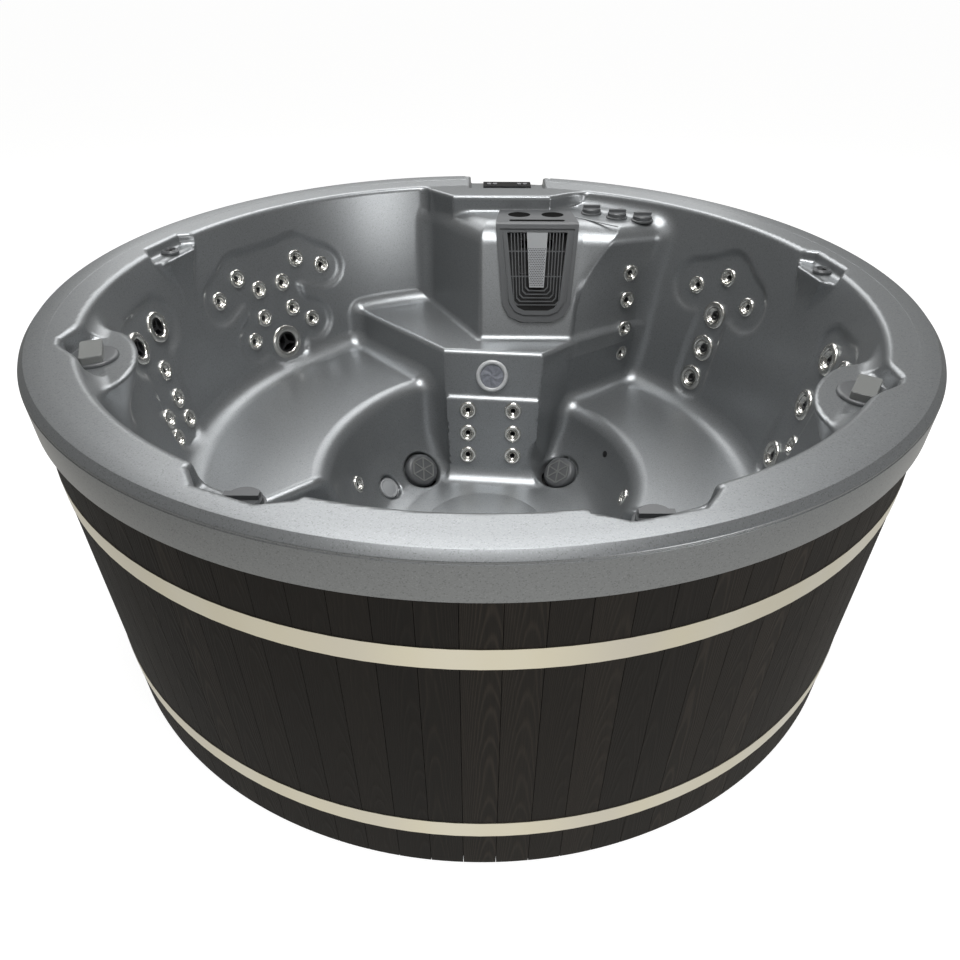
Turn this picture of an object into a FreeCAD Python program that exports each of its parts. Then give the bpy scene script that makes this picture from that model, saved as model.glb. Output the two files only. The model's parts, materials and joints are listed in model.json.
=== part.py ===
import FreeCAD, Part
import math
import os

# Hot tub: moulded shell in a staved skirt with two steel hoops.
# Millimetres, +Z up, origin on the ground under the middle, skimmer at +Y, open side rim at -Y.

Vector = FreeCAD.Vector

# Driving sizes: rim and shell
skirt_radius = 988.0
lip_overhang = 8.0
rim_width = 106.0
tub_height = 825.0
rim_fall = 10.0
fascia_height = 86.0
lip_chamfer = 14.0
shell_wall = 7.0
wall_draft = 0.2
seat_fillet = 35.0
right_wall_inset = 1.0
front_wall_inset = 2.0
drawn_opening = 890.0

# Driving sizes: levels above the ground, and drops below the top of the rim
floor_level = 60.0
front_bench_level = 180.0
right_seat_level = 250.0
left_seat_level = 335.0
step_level = 450.0
shelf_drop = 60.0
pocket_drop = 55.0
deck_jet_drop = 38.0
notch_drop = 27.0

# Driving sizes: skirt
stave_count = 98
stave_thick = 24.0
stave_joint = 1.0
stave_low = 12.0
stave_cover = 33.0
hoop_height = 44.0
hoop_thick = 1.5
lower_hoop_level = 136.0
upper_hoop_drop = 210.0

# Driving sizes: fittings
panel_recess = 8.0
jet_sizes = {"small": 28.0, "middle": 42.0, "large": 56.0}
jet_reach = 45.0
seat_cut = 0.8
hole_gap = 0.5
turn_gap = 0.5
running_gap = 0.1
knob_radius = 31.0
diverter_radius = 45.0
deck_ring_radius = 24.0
lens_radius = 51.0
suction_radius = 55.0
suction_stem = 26.0
cap_radius = 34.0
cap_stem = 18.0
plug_radius = 10.0
plug_stem = 6.0
lens_seat = 8.0
air_stem = 16.0
diverter_stem = 30.0
deck_stem = 17.0
grille_top_width = 262.0
grille_low_width = 206.0
bucket_radius = 72.0
cartridge_radius = 46.0

# Levels and radii that follow from the sizes above
lip_radius = skirt_radius + lip_overhang
opening_radius = lip_radius - rim_width
spread = opening_radius / drawn_opening
shelf_level = tub_height - shelf_drop
pocket_level = tub_height - pocket_drop
deck_jet_level = tub_height - deck_jet_drop
notch_level = tub_height - notch_drop
rim_inner = tub_height - rim_fall
fascia_low = tub_height - fascia_height
open_top = tub_height + 75.0
joint_top = rim_inner - shell_wall / 2
stave_inner = skirt_radius - stave_thick
stave_high = fascia_low + stave_cover
hoop_levels = {"lower": lower_hoop_level, "upper": tub_height - upper_hoop_drop}


def spread_out(points):
    """Points drawn for the usual opening, moved in or out in plan with the real one."""
    return [(point[0] * spread, point[1] * spread) + tuple(point[2:]) for point in points]


# Plan points of the moulded forms, as X, Y
step_low = spread_out([(-470, 640), (-100, 233), (172, 209), (232, 335), (505, 585), (720, 740), (720, 960),
                       (-470, 960)])
step_high = spread_out([(-430, 690), (-121, 376), (194, 349), (312, 453), (590, 628), (720, 720), (720, 960),
                        (-430, 960)])
step_foot_level = 30.0
ledge_low = spread_out([(-98, 223), (170, 199), (175, 300), (-105, 320)])
ledge_high = spread_out([(-112, 320), (185, 294), (190, 360), (-115, 380)])
ledge_level = 316.0
column_low = spread_out([(-215, 830), (-6, 426), (290, 426), (314, 442), (575, 620), (700, 700), (700, 960),
                         (-215, 960)])
column_waist = spread_out([(-196, 838), (-6, 530), (302, 530), (328, 536), (613, 640), (710, 710), (710, 960),
                           (-196, 960)])
column_high = spread_out([(-180, 845), (-6, 615), (330, 615), (443, 575), (640, 655), (720, 720), (720, 960),
                          (-180, 960)])
column_foot_level = 400.0
waist_share = 0.548
column_waist_level = column_foot_level + waist_share * (shelf_level - column_foot_level)
deck_outline = spread_out([(-173, 838), (-96, 757), (222, 757), (319, 815), (319, 960), (-173, 960)])
right_seat_outline = spread_out([(100, -100), (370, -170), (750, -430), (950, -430), (950, 760), (100, 760)])
front_bench_outline = spread_out([(0, -60), (-420, -160), (-720, -410), (-950, -600), (-950, -950), (950, -950),
                                  (950, -600), (750, -430), (370, -170)])
notch_outline = spread_out([(-40, 868), (212, 868), (212, 1020), (-40, 1020)])

# Footwell outline at the left seat: start, middle and end of each arc
foot_centre = spread_out([(5.0, -20.0)])[0]
foot_arcs = [spread_out([(-163, 384), (-389, 101), (-405, -140)]),
             spread_out([(-405, -140), (0, -450), (401, -185)]),
             spread_out([(401, -185), (461, 9), (279, 417)])]
foot_scales = [0.74, 0.86, 1.10]
foot_cove = 50.0
foot_mean_radius = 400.0 * spread

# Rim pockets: azimuths in degrees, outlines as outward, sideways
knob_pocket_azimuths = (-113.5, -73.6)
diverter_azimuths = (-157.5, -33.0)
deck_jet_azimuths = (162.5, 9.3)
knob_pocket = spread_out([(850, -118), (905, -110), (946, -60), (946, 60), (905, 110), (850, 118)])
diverter_pocket = spread_out([(840, -105), (885, -105), (932, -18), (932, 18), (885, 105), (840, 105)])
deck_jet_pocket = spread_out([(850, -100), (892, -100), (924, -70), (924, 70), (892, 100), (850, 100)])
deck_ledge_high = spread_out([(858, -58), (900, -96), (900, 96), (858, 58)])
deck_ledge_low = spread_out([(868, -25), (900, -50), (900, 50), (868, 25)])
deck_ledge_depth = 90.0
diverter_ledge = {"reach": 872.0 * spread, "top": 88.0, "foot": 28.0, "depth": 150.0}
front_knob_reach = 902.0 * spread
deck_jet_reach = 896.0 * spread

# Recessed wall panels: runs from azimuth, level to azimuth, level, with a half width
flower_runs = [(155.6, 612, 149.5, 650, 58), (149.5, 650, 134.4, 655, 58), (134.4, 655, 128.7, 614, 58),
               (142.5, 580, 142.0, 490, 100), (146.5, 480, 150.2, 458, 58), (138.0, 480, 134.0, 458, 58),
               (142.0, 440, 142.0, 416, 70)]
left_runs = [(173.5, 652, 182.5, 648, 62), (178.5, 620, 181.0, 420, 66)]
mushroom_runs = [(37.5, 612, 29.5, 655, 68), (29.5, 655, 23.2, 612, 68), (30.8, 560, 31.0, 335, 52)]
right_runs = [(356.0, 650, 348.5, 658, 58), (355.0, 620, 355.5, 345, 62)]

# Jets on the round wall: azimuth, level, kind
flower_jets = [(134.4, 654, "small"), (128.7, 616, "small"), (149.5, 652, "small"), (139.0, 596, "small"),
               (145.1, 598, "small"), (155.6, 614, "small"), (138.1, 511, "small"), (145.9, 512, "small"),
               (133.9, 458, "small"), (150.2, 458, "small"), (142.0, 414, "large")]
left_jets = [(174.1, 650, "middle"), (182.1, 646, "middle"), (177.7, 552, "small"), (178.0, 470, "small"),
             (185.2, 466, "small"), (177.6, 402, "small"), (184.4, 398, "small")]
mushroom_jets = [(37.3, 609, "small"), (30.4, 662, "small"), (23.4, 609, "small"),
                 (30.6, 546, "middle"), (30.7, 440, "middle"), (31.2, 336, "middle")]
right_jets = [(355.6, 642, "middle"), (349.0, 658, "small"), (355.5, 512, "middle"),
              (351.8, 418, "small"), (357.0, 340, "middle")]

# Jets elsewhere: a point near the wall, and the way out to it
column_jets = spread_out([(504, 562, 620), (494, 556, 535), (484, 549, 443), (480, 547, 357)])
column_way = (-0.56, 0.83, 0.0)
pillar_jets = spread_out([(across, along, level) for along, level in ((289, 279), (265, 208), (241, 139))
                          for across in (-43, 101)])
foot_jets = list(zip(spread_out([(-340, 35, 175), (365, -24, 175)]), ((-1, 0, 0), (1, 0, 0))))
pillar_way = (0.0, 1.0, -0.3)
light_point = spread_out([(34, 336, 379)])[0]
suction_points = spread_out([(-196, 232, 85), (244, 226, 85)])
floor_cap_point = spread_out([(-296, 132, 85)])[0]
sensor_point = spread_out([(369, 183, 180)])[0]

# Knobs on the back shelf, as X, Y
shelf_knobs = spread_out([(360, 748), (437, 700), (513, 668)])

# Azimuths where the moulding is parted into sectors, clear of its holes
sector_cuts = [-172.0, -146.0, -122.0, -95.0, -62.0, -20.0, 16.5, 55.2, 114.0, 165.5]


def at(radius, azimuth, level):
    angle = math.radians(azimuth)
    return Vector(radius * math.cos(angle), radius * math.sin(angle), level)


def wall_radius(level):
    return opening_radius - wall_draft * (rim_inner - level)


def ring(inner, outer, low, high):
    outside = Part.makeCylinder(outer, high - low, Vector(0, 0, low))
    return outside.cut(Part.makeCylinder(inner, high - low, Vector(0, 0, low)))


def outline_wire(points, level):
    corners = [Vector(x, y, level) for x, y in points]
    return Part.makePolygon(corners + corners[:1])


def prism(points, low, high):
    return Part.Face(outline_wire(points, low)).extrude(Vector(0, 0, high - low))


def taper(low_points, high_points, low, high):
    return Part.makeLoft([outline_wire(low_points, low), outline_wire(high_points, high)], True, True)


def box(x_range, y_range, z_range):
    size = [span[1] - span[0] for span in (x_range, y_range, z_range)]
    return Part.makeBox(*size, Vector(x_range[0], y_range[0], z_range[0]))


def grow(points, distance):
    """Move every side of an anticlockwise outline outward."""
    grown = []
    for index, (x, y) in enumerate(points):
        before = points[index - 1]
        after = points[(index + 1) % len(points)]
        first = Vector(x - before[0], y - before[1], 0).normalize()
        second = Vector(after[0] - x, after[1] - y, 0).normalize()
        spread = 1 + first.dot(second)
        shift = Vector(first.y + second.y, -first.x - second.x, 0) * (distance / spread)
        grown.append((x + shift.x, y + shift.y))
    return grown


def turned(points, azimuth):
    """Plan points given as outward, sideways at an azimuth."""
    placed = []
    for outward, sideways in points:
        spot = at(outward, azimuth, 0) + at(sideways, azimuth + 90, 0)
        placed.append((spot.x, spot.y))
    return placed


def lathe(profile):
    corners = [Vector(radius, 0, level) for radius, level in profile]
    face = Part.Face(Part.makePolygon(corners + corners[:1]))
    return face.revolve(Vector(0, 0, 0), Vector(0, 0, 1), 360)


def pointed(shape, point, way):
    """A copy with its own +Z turned to a direction and its origin at a point."""
    turn = FreeCAD.Rotation(Vector(0, 0, 1), way)
    placed = shape.copy()
    placed.Placement = FreeCAD.Placement(point, turn)
    return placed


def joined(shapes):
    whole = shapes[0]
    return whole.fuse(shapes[1:]).removeSplitter() if len(shapes) > 1 else whole


def save(name, shapes):
    shape = Part.makeCompound(shapes) if isinstance(shapes, list) else shapes
    shape.exportStep("parts/" + name + ".step")


# Moulded shell

def basin(low, high, skin, inset=0.0):
    """The round bowl above one seat; low seats stand a little inside the wall above them."""
    bottom = low - skin
    extra = skin - inset
    base = Vector(0, 0, bottom)
    cone = Part.makeCone(wall_radius(bottom) + extra, wall_radius(high) + extra, high - bottom, base)
    foot = [edge for edge in cone.Edges if edge.BoundBox.ZMax < bottom + 1]
    return cone.makeFillet(seat_fillet + skin, foot)


def foot_wire(scale, level):
    def place(point):
        return Vector(foot_centre[0] + scale * (point[0] - foot_centre[0]),
                      foot_centre[1] + scale * (point[1] - foot_centre[1]), level)
    edges = [Part.Arc(*[place(point) for point in arc]).toShape() for arc in foot_arcs]
    edges.append(Part.makeLine(place(foot_arcs[-1][2]), place(foot_arcs[0][0])))
    return Part.Wire(edges)


def footwell(skin):
    levels = [floor_level - skin, floor_level + foot_cove, step_level]
    extra = skin / foot_mean_radius
    wires = [foot_wire(scale + extra, level) for scale, level in zip(foot_scales, levels)]
    return Part.makeLoft(wires, True, True)


def panel(runs, skin):
    """A shallow recess in the round wall, made of round-ended runs."""
    middle = sum(run[0] + run[2] for run in runs) / (2 * len(runs))
    out = at(1, middle, 0)
    side = at(1, middle + 90, 0)
    bodies = []
    for first, first_level, second, second_level, half in runs:
        ends = []
        for azimuth, level in ((first, first_level), (second, second_level)):
            spot = at(wall_radius(level), azimuth, level)
            ends.append(side * spot.dot(side) + Vector(0, 0, level) + out * (opening_radius / 2))
        reach = opening_radius
        for end in ends:
            bodies.append(Part.makeCylinder(half + skin, reach, end, out))
        along = (ends[1] - ends[0]).normalize()
        across = along.cross(out) * (half + skin)
        corners = [ends[0] + across, ends[1] + across, ends[1] - across, ends[0] - across]
        bodies.append(Part.Face(Part.makePolygon(corners + corners[:1])).extrude(out * reach))
    depth = panel_recess + skin
    low = right_seat_level
    high = rim_inner
    layer = Part.makeCone(wall_radius(low) + depth, wall_radius(high) + depth, high - low, Vector(0, 0, low))
    return joined(bodies).common(layer)


def pocket(points, azimuth, level, skin, top):
    return prism(grow(turned(points, azimuth), skin), level - skin, top)


def diverter_shelf(azimuth, skin):
    depth = diverter_ledge["depth"]
    base = at(diverter_ledge["reach"], azimuth, pocket_level - depth)
    return Part.makeCone(diverter_ledge["foot"] - skin, diverter_ledge["top"] - skin, depth - skin, base)


def deck_jet_shelf(azimuth, skin):
    low = grow(turned(deck_ledge_low, azimuth), -skin)
    high = grow(turned(deck_ledge_high, azimuth), -skin)
    return taper(low, high, deck_jet_level - deck_ledge_depth, deck_jet_level - skin)


def column(skin):
    stages = [(column_low, column_foot_level), (column_waist, column_waist_level),
              (column_high, shelf_level - skin)]
    return Part.makeLoft([outline_wire(grow(points, -skin), level) for points, level in stages], True, True)


def hollow_space(skin):
    """The space in the tub, grown by the thickness of the skin."""
    top = joint_top if skin else open_top
    deep = left_seat_level + seat_fillet + 10
    voids = [basin(left_seat_level, top, skin), footwell(skin)]
    right = prism(grow(right_seat_outline, skin), 0, deep)
    voids.append(basin(right_seat_level, deep, skin, right_wall_inset).common(right))
    front = prism(grow(front_bench_outline, skin), 0, deep)
    voids.append(basin(front_bench_level, deep, skin, front_wall_inset).common(front))
    voids += [panel(runs, skin) for runs in (flower_runs, left_runs, mushroom_runs, right_runs)]
    masses = [taper(grow(step_low, -skin), grow(step_high, -skin), step_foot_level, step_level - skin)]
    masses.append(taper(grow(ledge_low, -skin), grow(ledge_high, -skin), step_foot_level, ledge_level - skin))
    masses.append(column(skin))
    masses.append(prism(grow(deck_outline, -skin), step_level, open_top))
    masses += [diverter_shelf(azimuth, skin) for azimuth in diverter_azimuths]
    masses += [deck_jet_shelf(azimuth, skin) for azimuth in deck_jet_azimuths]
    pockets = [pocket(knob_pocket, azimuth, pocket_level, skin, top) for azimuth in knob_pocket_azimuths]
    pockets += [pocket(diverter_pocket, azimuth, pocket_level, skin, top) for azimuth in diverter_azimuths]
    pockets += [pocket(deck_jet_pocket, azimuth, deck_jet_level, skin, top) for azimuth in deck_jet_azimuths]
    space = voids[0].fuse(voids[1:])
    return space.cut(masses).fuse(pockets)


def rim_ring():
    inner = opening_radius - 2 * shell_wall
    shoulder = lip_radius - lip_chamfer
    under = lip_radius - shell_wall
    low_edge = tub_height - lip_chamfer
    return lathe([(inner, rim_inner), (shoulder, tub_height), (lip_radius, low_edge), (lip_radius, fascia_low),
                  (under, fascia_low), (under, low_edge), (shoulder, tub_height - shell_wall),
                  (inner, rim_inner - shell_wall)])


def deck_plate():
    reach = Part.makeCylinder(opening_radius, shell_wall, Vector(0, 0, rim_inner - shell_wall))
    return prism(grow(deck_outline, 1), rim_inner - shell_wall, rim_inner).common(reach)


def make_shell_blank():
    tray = prism(grow(notch_outline, shell_wall), notch_level - shell_wall, rim_inner + 1)
    tray = tray.common(Part.makeCylinder(lip_radius, open_top))
    outside = hollow_space(shell_wall).fuse([rim_ring(), deck_plate(), tray])
    inside = hollow_space(0.0)
    notch = prism(notch_outline, notch_level, open_top)
    return outside.cut([inside, notch])


def sectors(shape):
    """The moulding in upright sectors, each a simple bent wall."""
    pieces = []
    for start, end in zip(sector_cuts, sector_cuts[1:] + [sector_cuts[0] + 360]):
        far = [at(2 * lip_radius, azimuth, 0) for azimuth in (start, (start + end) / 2, end)]
        wedge = prism([(0, 0)] + [(point.x, point.y) for point in far], 0, open_top)
        pieces += shape.common(wedge).Solids
    return pieces


probe_back = 160.0
probe_long = 420.0


def land(shape, point, way):
    """Where a line towards the wall first meets it, and the way the wall faces there."""
    heading = Vector(*way).normalize()
    start = Vector(*point) - heading * probe_back
    inside = Part.makeLine(start, start + heading * probe_long).common(shape)
    hit = min((vertex.Point for vertex in inside.Vertexes), key=lambda spot: (spot - start).Length)
    mark = Part.Vertex(hit)
    for face in shape.Faces:
        if face.BoundBox.isInside(hit) and face.distToShape(mark)[0] < 1e-4:
            facing = face.normalAt(*face.Surface.parameter(hit))
            return hit - facing * seat_cut, facing
    return hit, heading * -1


def wall_spot(shape, azimuth, level):
    out = at(1, azimuth, 0)
    return land(shape, at(wall_radius(level) - 60, azimuth, level), (out.x, out.y, 0))


def seat_and_hole(flange, stem, reach):
    """What is cut from the wall so that a flanged fitting sits flat in it."""
    seat = Part.makeCylinder(flange + 1, 30)
    hole = Part.makeCylinder(stem + hole_gap, reach + 20, Vector(0, 0, -reach - 15))
    return seat.fuse(hole)


# Jets

jet_floor = 15.0 - jet_reach


def jet_stem(kind):
    return jet_sizes[kind] * 0.64


def jet_bore(kind):
    return jet_stem(kind) - 3.0


def jet_rim(kind):
    flange = jet_sizes[kind]
    stem = jet_stem(kind)
    bore = jet_bore(kind)
    foot = -jet_reach
    floor = jet_floor
    return lathe([(bore, floor), (bore, 4), (bore + 2, 7), (flange - 6, 7), (flange - 1, 4), (flange, 2),
                  (flange, 0), (stem, 0), (stem, foot), (bore - 5, foot), (bore - 5, floor)])


def jet_nozzle(kind):
    outer = jet_bore(kind) - hole_gap
    return lathe([(3, jet_floor), (outer, jet_floor), (outer, -2), (outer * 0.8, 3), (outer * 0.45, 3),
                  (outer * 0.35, -4), (3, -12)])


def turning_nozzle(kind):
    outer = jet_bore(kind) - turn_gap
    floor = jet_floor + turn_gap
    body = lathe([(0, floor), (outer, floor), (outer, 1), (outer * 0.85, 5), (0, 5)])
    mouth = Part.makeCylinder(outer * 0.32, 60, Vector(outer * 0.28, 0, floor + 6))
    grip = box((-outer * 0.75, -outer * 0.3), (-3, 3), (0, 8))
    return body.cut(mouth).fuse(grip).removeSplitter()


def spinning_rotor(kind):
    outer = jet_bore(kind) - turn_gap
    floor = jet_floor + turn_gap
    hoop = lathe([(outer - 4, floor), (outer, floor), (outer, 3), (outer - 4, 3)])
    hub = Part.makeCylinder(outer * 0.25, 2 - floor, Vector(0, 0, floor))
    spokes = []
    for turn in range(3):
        spoke = box((outer * 0.2, outer - 2), (-outer * 0.1, outer * 0.1), (floor, 1))
        spoke.rotate(Vector(0, 0, 0), Vector(0, 0, 1), 120 * turn + 30)
        spokes.append(spoke)
    return joined([hoop, hub] + spokes)


def find_jets(blank):
    spots = {"small": [], "middle": [], "large": []}
    for azimuth, level, kind in flower_jets + left_jets + mushroom_jets + right_jets:
        spots[kind].append(wall_spot(blank, azimuth, level))
    spots["small"] += [land(blank, point, column_way) for point in column_jets]
    spots["small"] += [land(blank, point, pillar_way) for point in pillar_jets]
    spots["small"] += [land(blank, point, way) for point, way in foot_jets]
    return spots


def make_jets(spots):
    rotors = 0
    for kind in spots:
        save(kind + "_jet_rims", [pointed(jet_rim(kind), *spot) for spot in spots[kind]])
    save("small_jet_nozzles", [pointed(jet_nozzle("small"), *spot) for spot in spots["small"]])
    for index, spot in enumerate(spots["middle"]):
        if index < 2:
            rotors += 1
            save("jet_rotor_%d" % rotors, pointed(spinning_rotor("middle"), *spot))
        else:
            save("middle_jet_nozzle_%d" % (index - 1), pointed(turning_nozzle("middle"), *spot))
    for spot in spots["large"]:
        rotors += 1
        save("jet_rotor_%d" % rotors, pointed(spinning_rotor("large"), *spot))


# Knobs, valves and deck jets

def knob_spots():
    spots = [Vector(x, y, shelf_level) for x, y in shelf_knobs]
    return spots + [at(front_knob_reach, azimuth, pocket_level) for azimuth in knob_pocket_azimuths]


def air_base():
    edge = knob_radius + 3
    return lathe([(10, -46), (air_stem, -46), (air_stem, 0), (edge, 0), (edge, 4), (knob_radius, 6), (10, 6)])


def air_knob():
    low = 6 + turn_gap
    skirt = lathe([(0, low), (knob_radius - 1, low), (knob_radius - 1, low + 9), (knob_radius - 4, low + 12),
                   (0, low + 12)])
    stem = Part.makeCylinder(10 - hole_gap, low + 40, Vector(0, 0, -40))
    bar = box((-knob_radius + 4, knob_radius - 4), (-6, 6), (low + 12, low + 20))
    return joined([skirt, stem, bar])


def diverter_base():
    edge = diverter_radius
    return lathe([(16, -95), (diverter_stem, -95), (diverter_stem, 0), (edge, 0), (edge, 9), (edge - 4, 13),
                  (16, 13)])


def diverter_handle():
    low = 13 + turn_gap
    disc = Part.makeCylinder(diverter_radius - 6, 6, Vector(0, 0, low))
    stem = Part.makeCylinder(16 - hole_gap, low + 85, Vector(0, 0, -85))
    long_half = diverter_radius - 4
    wide_half = 24
    outline = [(-long_half, 0), (-long_half + 14, -wide_half), (long_half - 14, -wide_half), (long_half, 0),
               (long_half - 14, wide_half), (-long_half + 14, wide_half)]
    block = taper(outline, grow(outline, -4), low + 6, low + 30)
    return joined([disc, stem, block])


def deck_ring():
    edge = deck_ring_radius
    return lathe([(13, -30), (deck_stem, -30), (deck_stem, 0), (edge, 0), (edge, 6), (edge - 4, 10),
                  (edge - 8, 10), (13, 5)])


def deck_nozzle():
    outer = 13 - turn_gap
    body = lathe([(0, -28), (outer, -28), (outer, 4), (outer - 2, 8), (0, 8)])
    return body.cut(Part.makeCylinder(5, 40, Vector(3, 0, -20)))


def make_valves():
    up = Vector(0, 0, 1)
    save("air_control_bases", [pointed(air_base(), spot, up) for spot in knob_spots()])
    for index, spot in enumerate(knob_spots()):
        save("air_knob_%d" % (index + 1), pointed(air_knob(), spot, up))
    spots = [at(diverter_ledge["reach"], azimuth, pocket_level) for azimuth in diverter_azimuths]
    save("diverter_bases", [pointed(diverter_base(), spot, up) for spot in spots])
    for side, spot, azimuth in zip(("left", "right"), spots, diverter_azimuths):
        handle = diverter_handle()
        handle.rotate(Vector(0, 0, 0), up, azimuth)
        handle.translate(spot)
        save("diverter_handle_" + side, handle)
    spots = [at(deck_jet_reach, azimuth, deck_jet_level) for azimuth in deck_jet_azimuths]
    save("deck_jet_rings", [pointed(deck_ring(), spot, up) for spot in spots])
    for side, spot in zip(("left", "right"), spots):
        save("deck_jet_nozzle_" + side, pointed(deck_nozzle(), spot, up))


def valve_holes():
    down = Vector(0, 0, 40)
    diverters = [at(diverter_ledge["reach"], azimuth, pocket_level) for azimuth in diverter_azimuths]
    deck_jets = [at(deck_jet_reach, azimuth, deck_jet_level) for azimuth in deck_jet_azimuths]
    holes = [Part.makeCylinder(air_stem + hole_gap, 60, spot - down) for spot in knob_spots()]
    holes += [Part.makeCylinder(diverter_stem + hole_gap, 60, spot - down) for spot in diverters]
    return holes + [Part.makeCylinder(deck_stem + hole_gap, 60, spot - down) for spot in deck_jets]


# Footwell fittings

def light_lens():
    edge = lens_radius
    stem = lens_radius - lens_seat
    return lathe([(0, -6), (stem, -6), (stem, 0), (edge, 0), (edge, 4), (edge - 5, 9), (edge - 20, 13), (0, 15)])


def light_housing():
    edge = lens_radius - lens_seat + hole_gap
    return lathe([(0, -60), (edge - 6, -60), (edge - 6, -6), (0, -6)])


def suction_cover():
    """A raised round cover with six sunk triangles that point to its middle."""
    edge = suction_radius
    body = lathe([(0, 4), (edge, 4), (edge, 20), (edge - 6, 28), (0, 30)])
    corners = [Vector(8, 0, 26), Vector(40, -19, 26), Vector(40, 19, 26), Vector(8, 0, 26)]
    slots = []
    for turn in range(6):
        slot = Part.Face(Part.makePolygon(corners)).extrude(Vector(0, 0, 12))
        slot.rotate(Vector(0, 0, 0), Vector(0, 0, 1), 60 * turn)
        slots.append(slot)
    return body.cut(slots)


def suction_base():
    edge = suction_radius - 4
    return lathe([(20, -26), (suction_stem, -26), (suction_stem, 0), (edge, 0), (edge, 4), (20, 4)])


def floor_cap():
    edge = cap_radius
    return lathe([(0, -20), (cap_stem, -20), (cap_stem, 0), (edge, 0), (edge, 5), (edge - 4, 9), (0, 10)])


def sensor_plug():
    return lathe([(0, -30), (plug_stem, -30), (plug_stem, 0), (plug_radius, 0), (plug_radius, 3), (0, 5)])


def make_foot_fittings(spots):
    save("light_lens", pointed(light_lens(), *spots["light"]))
    save("light_housing", pointed(light_housing(), *spots["light"]))
    save("suction_covers", [pointed(suction_cover(), *spot) for spot in spots["suction"]])
    save("suction_bases", [pointed(suction_base(), *spot) for spot in spots["suction"]])
    save("floor_cap", pointed(floor_cap(), *spots["cap"]))
    save("sensor_plug", pointed(sensor_plug(), *spots["sensor"]))


def find_foot_fittings(blank):
    spots = {"light": land(blank, light_point, pillar_way)}
    spots["suction"] = []
    for point in suction_points:
        out = Vector(point[0] - foot_centre[0], point[1] - foot_centre[1], 0).normalize()
        spots["suction"].append(land(blank, point, (out.x, out.y, -0.8)))
    out = Vector(floor_cap_point[0], floor_cap_point[1], 0).normalize()
    spots["cap"] = land(blank, floor_cap_point, (out.x, out.y, -0.8))
    out = Vector(sensor_point[0], sensor_point[1], 0).normalize()
    spots["sensor"] = land(blank, sensor_point, (out.x, out.y, 0))
    return spots


# Skimmer

front_slope = (column_high[1][1] - column_low[1][1]) / (shelf_level - column_foot_level)
front_tilt = math.atan(front_slope)
front_edge = column_high[1][1]
grille_middle = 174.0 * spread
grille_thick = 10.0
grille_drop = 300.0
grille_frame = 36.0
grille_corner = 55.0
channel_inner = 22.0
channel_outer = 13.0
channel_deep = 4.0
bar_wide = 3.0
bar_count = 5
bar_pitch = 10.4
bar_first = 41.0
bar_top = 24.0
bar_taper = 0.86
hoop_first = 202.0
hoop_pitch = 11.0
cross_bars = (79.0, 156.0)
strip_corners = [(-33, 24), (33, 24), (23, 192), (-23, 192)]
cap_thick = 8.0
cap_depth = 136.0


def slope_point(x, down, out):
    """A point on the sloped skimmer front, given as across, down from its top edge and out of it."""
    y = front_edge - down * math.sin(front_tilt) - out * math.cos(front_tilt)
    z = shelf_level - down * math.cos(front_tilt) + out * math.sin(front_tilt)
    return Vector(grille_middle + x, y, z)


def slope_plate(points, low, high):
    corners = [slope_point(x, down, low) for x, down in points]
    rise = slope_point(0, 0, high) - slope_point(0, 0, low)
    return Part.Face(Part.makePolygon(corners + corners[:1])).extrude(rise)


def grille_outline(inset):
    top = grille_top_width / 2 - inset
    low = grille_low_width / 2 - inset
    drop = grille_drop - inset
    cut = grille_corner - 0.7 * inset
    right = [(top, inset), (low + 6, drop - cut), (low - cut * 0.3, drop - cut * 0.3), (low - cut, drop)]
    return [(-across, down) for across, down in reversed(right)] + right


def hoop_line(step, spare):
    """One side of a bar that runs down, round a cut corner and across, as across, down."""
    across = bar_first + bar_pitch * step + spare
    low = across * bar_taper
    drop = hoop_first + hoop_pitch * step + spare
    right = [(across, bar_top - bar_wide), (low, drop - hoop_pitch), (low - hoop_pitch, drop)]
    return right + [(-a, d) for a, d in reversed(right)]


def grille_bars(window):
    bars = [slope_plate(hoop_line(step, bar_wide / 2) + list(reversed(hoop_line(step, -bar_wide / 2))), 2, 8)
            for step in range(bar_count)]
    half = grille_top_width / 2
    for down in cross_bars:
        foot = down + bar_wide
        bars.append(slope_plate([(-half, down), (half, down), (half, foot), (-half, foot)], 2, 6))
    return [bar.common(window) for bar in bars]


def grille_window():
    points = grille_outline(grille_frame)
    return [(across, bar_top if down == grille_frame else down) for across, down in points]


def grille_cap():
    half = grille_top_width / 2
    back = front_edge + cap_depth
    corners = [(grille_middle - half, front_edge), (grille_middle + half, front_edge),
               (grille_middle + half - 14, back), (grille_middle - half + 14, back)]
    cap = prism(corners, shelf_level, shelf_level + cap_thick)
    holes = [Part.makeCylinder(24, 40, Vector(grille_middle + side * 56, front_edge + 90, shelf_level - 10))
             for side in (-1, 1)]
    slot = box((grille_middle - 84, grille_middle + 84), (front_edge + 14, front_edge + 24),
               (shelf_level + 4, shelf_level + 20))
    return cap.fuse(grille_nose()).removeSplitter().cut(holes + [slot])


def grille_nose():
    """The wedge between the sloped front and the level cap."""
    half = grille_top_width / 2
    corners = [slope_point(-half, 0, 0), slope_point(-half, 0, grille_thick),
               Vector(grille_middle - half, front_edge, shelf_level + cap_thick)]
    return Part.Face(Part.makePolygon(corners + corners[:1])).extrude(Vector(2 * half, 0, 0))


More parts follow.
